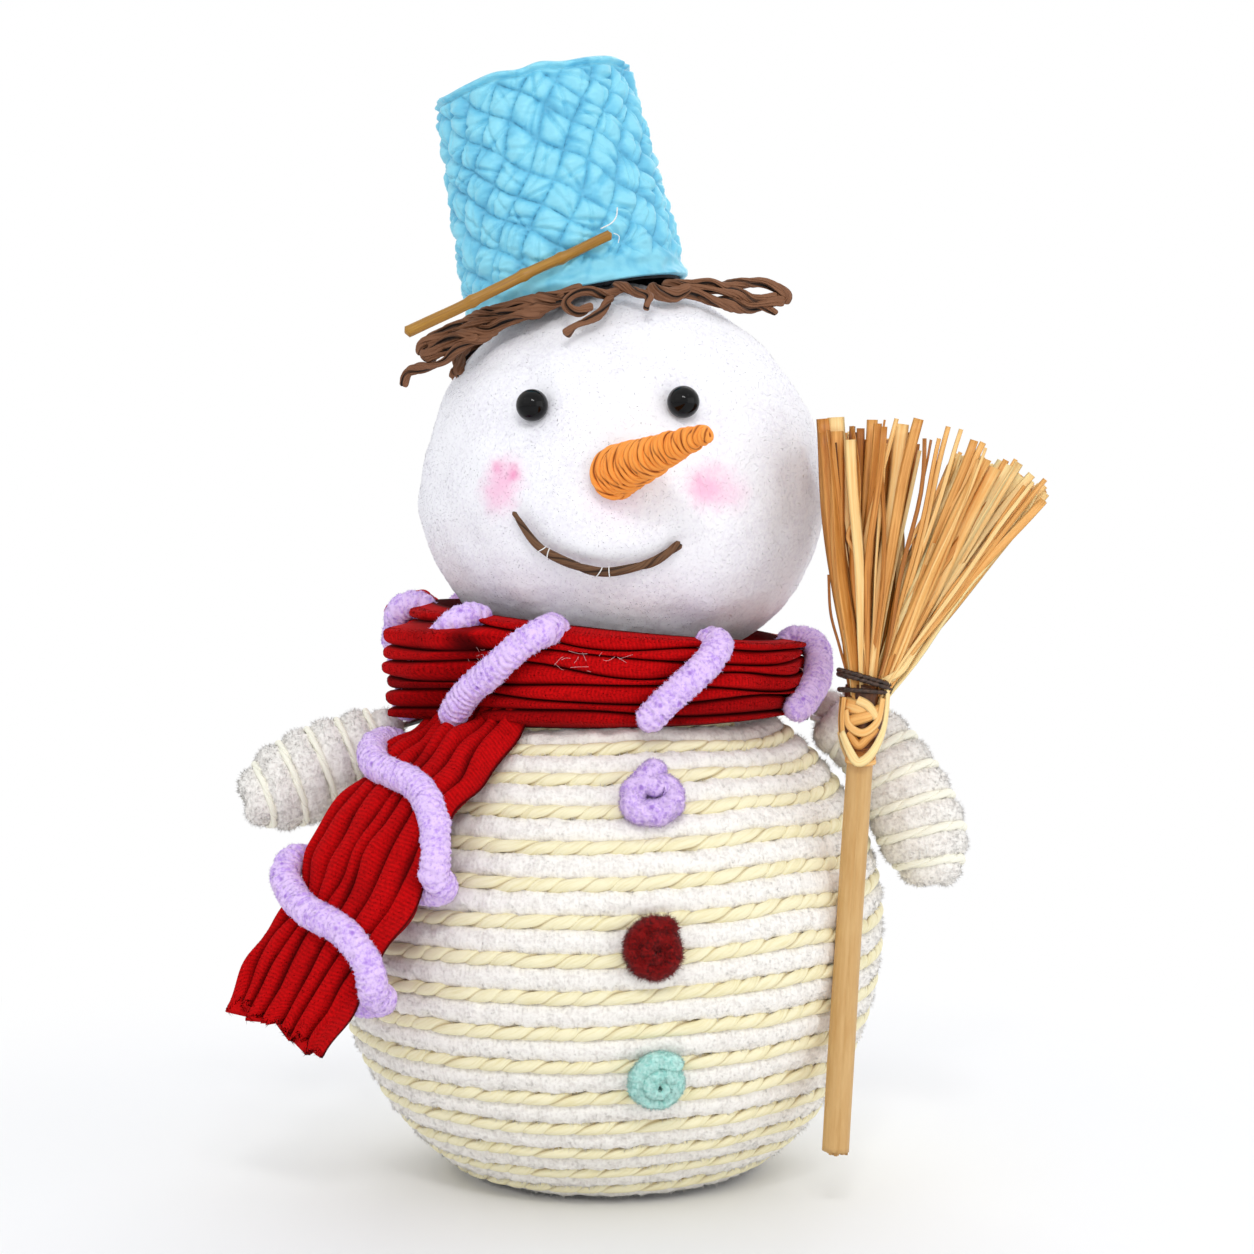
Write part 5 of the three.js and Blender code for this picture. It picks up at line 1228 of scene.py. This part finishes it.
def build_handle():
    wood = dry_straw("bamboo_split", [(0.1, "#9A6A28"), (0.4, "#C39658"), (0.7, "#D8B278")])
    rows, sides = 90, 60
    height = np.linspace(-HANDLE_LENGTH, 0, rows)
    line = broom_to_doll(np.column_stack([0.4 * np.sin(height / 60), np.zeros(rows), height]))
    angles, height = loop_of(sides), height[:, None]
    grooves = (1 - 0.06 * peak(np.abs(np.sin(2.5 * angles)), 0.2) + 0.012 * np.sin(17 * angles)
               + 0.01 * np.sin(height / 9)) * (1 + 0.02 * np.sin(height / 30))
    shape = Shape()
    shape.sweep(round_rings(line, BROOM_ROUND, sides, HANDLE_RADIUS * grooves))
    rng = np.random.default_rng(500)
    for _ in range(26):
        r, a = 3.1 * math.sqrt(rng.random()), TAU * rng.random()
        end = polar(r, a, np.array([-HANDLE_LENGTH + 0.5, -HANDLE_LENGTH - 0.5 - 0.6 * rng.random()]))
        shape.sweep(round_rings(resample(broom_to_doll(end), 3), BROOM_ROUND, 7, 0.5), 0.1 + 0.4 * rng.random())
    make_piece("broom_handle_cane", shape, wood, "body", "wood_handle", "broom_handle")


def add_leaf(shape, line, facing, width, shade, curl=0.25, thick=0.22):
    """A flat strip with a slight trough, from its middle line in the broom's frame; its width may vary along it."""
    line = broom_to_doll(line)
    out, side = side_frames(line, facing)
    places = np.array([-1, -0.5, 0, 0.5, 1, 0.5, 0, -0.5])
    skin = np.array([0, 1, 1, 1, 0, -1, -1, -1]) * thick / 2
    width = np.broadcast_to(width, len(line))[:, None]
    rings = (line[:, None] + (width * places / 2)[..., None] * side[:, None]
             + (width * curl * places**2 / 2 + skin)[..., None] * out[:, None])
    shape.sweep(rings, shade, start=float(shade * 400))


def build_fan(straw):
    rng = np.random.default_rng(510)
    shape = Shape()
    share = np.linspace(0, 1, 16)
    for _ in range(settings().straws):
        group = rng.random()
        lean = math.radians(rng.uniform(-10.5, 8.5) if group < 0.46 else rng.uniform(15, 35.5))
        length = rng.uniform(71, 77)
        if rng.random() < 0.08:
            lean = math.radians(rng.uniform(-9, 35))
            length *= rng.uniform(0.55, 0.9)
        depth = rng.uniform(-1, 1) if rng.random() < 0.4 else rng.uniform(-1, 0.1)
        bow = rng.normal(0, 1.3)
        wobble = rng.normal(0, 0.7)
        foot = np.clip(5 * math.tanh(2.4 * math.sin(lean)) + rng.normal(0, 0.8), -4.8, 4.6)
        across = (foot + np.sin(lean) * length * share**1.12 + bow * np.sin(math.pi * share)
                  + wobble * np.sin(3 * math.pi * share))
        ahead = 4.2 * depth + depth * 9 * share + rng.normal(0, 0.8) * np.sin(math.pi * share)
        line = np.column_stack([across, ahead, np.cos(lean) * length * share - 2.0])
        width = rng.choice([1.3, 2.0, 3.0, 4.4, 6.6], p=[0.2, 0.24, 0.26, 0.19, 0.11])
        profile = width * (0.45 + 0.55 * smoothstep(share, 0, 0.5)) * (1 - 0.12 * share**3)
        turn = rng.normal(0, 0.45) + rng.normal(0, 0.7) * share
        # Painted shade: strips set further back are made darker.
        shade = np.clip(rng.normal(0.34 + 0.28 * (group > 0.46), 0.14) - 0.16 * (depth < -0.2), 0.02, 0.95)
        add_leaf(shape, line, aimed(turn, *BROOM_ROUND), profile, shade, curl=rng.uniform(-0.3, 0.4))
    share = np.linspace(0, 1, 24)
    for right, up, belly, width, shade, forward in LEAVES:
        foot = 4.4 * math.tanh(right / 20) + rng.normal(0, 0.3)
        wander = 0.35 * np.sin(TAU * (1.6 * share + rng.random()))
        across = foot + (right - foot) * share**1.08 + belly * np.sin(math.pi * share) + wander * share
        line = np.column_stack([across, 3.6 + (forward - 2.4) * share**0.8 + wander, up * share])
        profile = width * (0.42 + 0.58 * smoothstep(share, 0, 0.55)) * (1 - 0.1 * share**4)
        turn = 0.25 * np.sin(TAU * (0.7 * share + rng.random()))
        add_leaf(shape, line, aimed(turn, *BROOM_ROUND), profile, shade, curl=rng.uniform(-0.25, 0.3))
    for route, width, shade in STRAYS:
        add_leaf(shape, smooth_line(route, 30), BROOM_FRONT, width, shade)
    make_piece("broom_straw_strips", shape, straw, "body", "straw_gold", "broom_straw")


def build_knot(straw):
    """The straw bound down over the handle, and flat straps laid crosswise on both its faces."""
    sides = 40
    share = np.linspace(0, 1, 24)[:, None]
    radius = 3.9 + 1.4 * smoothstep(share, 0, 0.5) + 0.1 * np.sin(share * 30)
    line = broom_to_doll(np.hstack([0 * share, 0 * share, -KNOT_LENGTH + (KNOT_LENGTH + 3) * share]))
    lobes = radius * (1 + 0.05 * np.sin(9 * loop_of(sides) + 4 * share))
    shape = Shape()
    # Painted shade: the core under the straps is near black so the gaps between them read dark; its foot, where it
    # shows below them, is lighter.
    shape.sweep(round_rings(line, BROOM_ROUND, sides, lobes), 0.04 + 0.4 * (1 - smoothstep(share, 0, 0.3)))
    for face in (1, -1):
        for places, width, shade, lift in STRAPS:
            across, height = smooth_line(places, 40).T
            radius = 5.3 + lift + 1.0 * smoothstep(height, -KNOT_LENGTH, -6)
            angle = across / 6.2
            line = np.column_stack([radius * np.sin(angle), face * radius * np.cos(angle), height])
            add_leaf(shape, line, aimed(angle, face * BROOM_FRONT, BROOM_RIGHT), width, shade, curl=-0.12, thick=0.5)
    make_piece("broom_knot_straps", shape, straw, "body", "straw_gold", "broom_knot")


def build_tie():
    """Waxed cotton cord, pulled tight: thin, dark and slightly shiny."""
    cord = plain_stock("waxed_cord_dark", "#4A2F1F", "#22130B", grain=0.9, roughness=0.45)
    turns = np.linspace(-0.4, 3.15, 240)
    angle = TAU * turns
    radius = 7.0 + 0.15 * np.sin(angle * 3) + 0.5 * smoothstep(turns, 0.8, 1.2)
    # One turn lies level, and two more lean over the pinched straw above it.
    leaning = smoothstep(turns, 0.7, 1.1)
    height = 1.4 + 2.6 * leaning + 1.1 * smoothstep(turns, 1.8, 2.2) - 1.7 * leaning * np.cos(angle)
    line = broom_to_doll(polar(radius, angle, height) * [1, 0.9, 1])
    facing = unit(line - (BROOM_TOP + ((line - BROOM_TOP) @ BROOM_UP)[:, None] * BROOM_UP))
    shape = Shape()
    twisted_cord(shape, line, facing, radius=0.8, lay=4, sides=8)
    make_piece("broom_tie_cord", shape, cord, "body", "cord_dark", "broom_tie")


# The add-on

def settings():
    return bpy.context.scene.snowman_doll


class DollSettings(bpy.types.PropertyGroup):
    plush_hairs: IntProperty(name="Plush hairs", description="Hairs on the body's plush", default=52000, min=0)
    fleece_hairs: IntProperty(name="Fleece hairs", description="Hairs on the head", default=36000, min=0)
    pile_length: FloatProperty(name="Pile length", description="Length of the plush's hairs",
                               default=1.5 * MM, unit="LENGTH")
    cord_lay: FloatProperty(name="Cord lay", description="Length of one twist of the paper cord",
                            default=16.4 * MM, unit="LENGTH")
    tie_radius: FloatProperty(name="Tie radius", description="Half the thickness of the scarf's plush ties",
                              default=4.1 * MM, unit="LENGTH")
    straws: IntProperty(name="Straws", description="Strips in the broom", default=190, min=10)


class DOLL_OT_stage(bpy.types.Operator):
    """Camera, soft lights and a pale floor"""
    bl_idname = "doll.stage"
    bl_label = "Stage"

    def execute(self, context):
        scene = context.scene
        camera = bpy.data.objects.new("camera", bpy.data.cameras.new("camera"))
        camera.location = CAMERA_PLACE
        camera.rotation_euler = (math.pi / 2 - CAMERA_DIP, 0, 0)
        camera.data.lens = CAMERA_LENS
        camera.data.sensor_width = 36
        camera.data.clip_start = 0.01
        scene.collection.objects.link(camera)
        scene.camera = camera
        scene.view_settings.view_transform = "Standard"
        for name, (place, size, power) in LAMPS.items():
            lamp = bpy.data.objects.new(name, bpy.data.lights.new(name, "AREA"))
            lamp.data.energy, lamp.data.size = power, size
            lamp.location = place
            lamp.rotation_euler = (LAMP_AIM - Vector(place)).to_track_quat("-Z", "Y").to_euler()
            scene.collection.objects.link(lamp)
        build_world(scene)
        build_floor(scene)
        return {"FINISHED"}


class DOLL_OT_body(bpy.types.Operator):
    """Plush and paper cord wound round the body, over its foam"""
    bl_idname = "doll.body"
    bl_label = "Body"

    def execute(self, context):
        # Painted shadow of the scarf's hanging end on the body, pinkish brown, put into the plush's and the cord's
        # colour.
        tail_shadow = ([-59, -50, 93], 21, "#C79A90")
        plush = chenille_pile("chenille_white", "#FAF6EF", "#E9E3DC", tail_shadow=tail_shadow)
        paper = twisted_paper("paper_cord_cream", "#F5EDC8", "#EADFB0", "#B39B6C", tail_shadow=tail_shadow)
        line, outward = body_helix(PLUSH_RADIUS, lead=0, step=1.15)
        stem, pile, cord = Shape(), Shape(), Shape()
        sides = 20
        quads, points = chenille_stem(stem, line, outward, 3.6, seed=11, sides=sides, flat=1.12, lumps=0.1)
        make_piece("body_plush_winding_cloth", stem, plush, "body", "plush_white", "body_plush_winding")
        skin = points[:len(line) * sides].reshape(len(line), sides, 3)
        facing = ((skin - line[:, None]) * outward[:, None]).sum(2).ravel() > 0.3
        pile.fibres(points, quads, settings().plush_hairs, settings().pile_length / MM, width=0.11, seed=12,
                    allowed=facing[quads[:, 0]])
        make_piece("body_plush_pile", pile, plush, "body", "plush_white").visible_shadow = False
        line, outward = body_helix(PAPER_CORD_RADIUS, lead=WINDING_PITCH / 2, step=1.25)
        twisted_cord(cord, line, outward, radius=2.2, lay=settings().cord_lay / MM, sides=12)
        make_piece("body_paper_cord_plies", cord, paper, "body", "paper_cord_cream", "body_paper_cord")
        foam = plain_stock("foam_expanded_white", "#F4F4F2", "#E2E2DF", grain=2.2, roughness=0.9, depth=0.4)
        for node in ("body_core", "head_core", "right_arm_core", "left_arm_core"):
            paint_node(node, foam)
        board = plain_stock("board_pressed_brown", "#CBBB9E", "#B3A182", grain=1.2, roughness=0.85)
        paint_node("foot_disc", board)
        paint_node("neck_dowel", plain_stock("beech_turned", "#D9BD8E", "#C4A370", grain=3, roughness=0.6))
        wire = plain_stock("steel_wire_drawn", "#9A9DA1", "#83868A", grain=1.5, roughness=0.35, metallic=1.0)
        for side in ARM_LINES:
            paint_node(f"{side}_shoulder_wire", wire)
        return {"FINISHED"}


class DOLL_OT_head(bpy.types.Operator):
    """Fleece head with bead eyes, cord mouth and wound nose"""
    bl_idname = "doll.head"
    bl_label = "Head"

    def execute(self, context):
        for build in (build_cover, build_eyes, build_mouth, build_nose):
            build()
        return {"FINISHED"}


class DOLL_OT_hat(bpy.types.Operator):
    """Quilted hat with its lining, crown and twig"""
    bl_idname = "doll.hat"
    bl_label = "Hat"

    def execute(self, context):
        satin = quilted_satin("satin_quilted_blue", "#8AD6EA", "#72C6E2", "#66B8D7")
        build_wall(satin)
        build_crown(satin)
        build_lining()
        build_twig()
        return {"FINISHED"}


class DOLL_OT_hair(bpy.types.Operator):
    """Locks of twisted brown paper under the hat's rim"""
    bl_idname = "doll.hair"
    bl_label = "Hair"

    def execute(self, context):
        paper = twisted_paper("crepe_paper_brown", "#80563B", "#3C2314", "#1A0D06", roughness=0.6, streak=0.6)
        for number, (node, locks) in enumerate(LOCKS.items()):
            shape = Shape()
            for count, (route, width) in enumerate(locks):
                add_lock(shape, route, 0.9 * width, 60 + 7 * number + count)
            make_piece(f"{node}_lock", shape, paper, "head", "yarn_hair", node)
        rest = Shape()
        for count in range(11):
            start = math.radians(8 + 16.4 * count)
            add_lock(rest, [polar(28, start, -1.0), polar(33, start + 0.12, -4.5),
                            polar(38, start + 0.34, -9.5 - 2 * (count % 2)),
                            polar(40, start + 0.5, -14.5 - 2 * (count % 3))], 1.7, 140 + count)
        make_piece("hair_rear_locks", rest, paper, "head", "yarn_hair")
        return {"FINISHED"}


class DOLL_OT_scarf(bpy.types.Operator):
    """Ribbed velvet scarf and the plush stems tied over it"""
    bl_idname = "doll.scarf"
    bl_label = "Scarf"

    def execute(self, context):
        velvet = ribbed_velvet("velvet_ribbed_red", "#C9080C", "#A30508", "#4A0103", 12 / 94)
        plush = chenille_pile("chenille_lilac", "#E8CDFA", "#C29CEA", ridge=1.9, pit_shade="#9A6AD0")
        build_collar(velvet)
        build_lint()
        build_bundle(velvet)
        build_tail(velvet)
        build_ties(plush)
        return {"FINISHED"}


class DOLL_OT_arms(bpy.types.Operator):
    """Arms wound in plush and thin paper cord"""
    bl_idname = "doll.arms"
    bl_label = "Arms"

    def execute(self, context):
        plush, paper = (bpy.data.materials[name] for name in ("chenille_white", "paper_cord_cream"))
        for number, (side, points) in enumerate(ARM_LINES.items()):
            arm = f"{side}_arm"
            shape, cord = Shape(), Shape()
            line, outward = arm_helix(points, ARM_PLUSH_RADIUS, lead=0, step=0.8, closed_end=True)
            quads, skin = chenille_stem(shape, line, outward, 5.0, seed=300 + number, sides=24, flat=1.08)
            shape.fibres(skin, quads, 16000, length=1.5, width=0.11, seed=310 + number)
            make_piece(f"{arm}_plush_stem", shape, plush, arm, "plush_white", f"{arm}_plush_winding")
            line, outward = arm_helix(points, -0.7, lead=0.5, step=0.8, closed_end=False)
            twisted_cord(cord, line, outward, ARM_CORD_RADII[side], lay=17, sides=9)
            make_piece(f"{arm}_cord_plies", cord, paper, arm, "paper_cord_cream", f"{arm}_paper_cord")
        return {"FINISHED"}


class DOLL_OT_buttons(bpy.types.Operator):
    """Three plush buttons"""
    bl_idname = "doll.buttons"
    bl_label = "Buttons"

    def execute(self, context):
        lilac = bpy.data.materials["chenille_lilac"]
        red = chenille_pile("chenille_red", "#8E0606", "#4A0102", ridge=1.0)
        mint = chenille_pile("chenille_mint", "#C4EFE6", "#9ADBD0", ridge=1.4)
        for colour, material, line, radius, pile, seed in (
            ("lilac", lilac, plush_knot(), 3.6, 0.9, 400),
            ("red", red, plush_coil(1.9, BUTTON_RADIUS - 3.1), 3.1, 1.7, 410),
            ("mint", mint, plush_coil(2.0, BUTTON_RADIUS - 2.8), 2.8, 0.9, 420),
        ):
            node = f"{colour}_button"
            centre = node_centre(node)
            outward = body_normal(centre)
            raised, level = upright(outward)
            line = centre + line @ np.array([level, raised, outward])
            shape = Shape()
            quads, points = chenille_stem(shape, line, outward, radius, seed, sides=22, lumps=0.09)
            shape.fibres(points, quads, 5000, length=pile, width=0.1, seed=seed + 3)
            make_piece(f"{node}_plush", shape, material, "body", f"plush_{colour}", node)
        return {"FINISHED"}


class DOLL_OT_broom(bpy.types.Operator):
    """Straw broom with its handle, binding and knot"""
    bl_idname = "doll.broom"
    bl_label = "Broom"

    def execute(self, context):
        straw = dry_straw("straw_dried", [(0.0, "#4A2408"), (0.14, "#85480F"), (0.3, "#C47C2C"), (0.5, "#EFB262"),
                                          (0.8, "#FBE2A2")])
        build_handle()
        build_fan(straw)
        build_knot(straw)
        build_tie()
        return {"FINISHED"}


class DOLL_PT_panel(bpy.types.Panel):
    """Sizes and steps of the doll"""
    bl_idname = "DOLL_PT_panel"
    bl_label = "Snowman Doll"
    bl_space_type = "VIEW_3D"
    bl_region_type = "UI"
    bl_category = "Doll"

    def draw(self, context):
        column = self.layout.column()
        for name in DollSettings.__annotations__:
            column.prop(settings(), name)
        for operator in OPERATORS:
            column.operator(operator.bl_idname)


OPERATORS = (DOLL_OT_stage, DOLL_OT_body, DOLL_OT_head, DOLL_OT_hat, DOLL_OT_hair, DOLL_OT_scarf, DOLL_OT_arms,
             DOLL_OT_buttons, DOLL_OT_broom)
CLASSES = (DollSettings, *OPERATORS, DOLL_PT_panel)


def register():
    for cls in CLASSES:
        bpy.utils.register_class(cls)
    bpy.types.Scene.snowman_doll = PointerProperty(type=DollSettings)


def unregister():
    del bpy.types.Scene.snowman_doll
    for cls in reversed(CLASSES):
        bpy.utils.unregister_class(cls)


def main():
    register()
    bpy.ops.doll.stage()
    bpy.ops.doll.body()
    bpy.ops.doll.head()
    bpy.ops.doll.hat()
    bpy.ops.doll.hair()
    bpy.ops.doll.scarf()
    bpy.ops.doll.arms()
    bpy.ops.doll.buttons()
    bpy.ops.doll.broom()


if __name__ == "__main__":
    main()
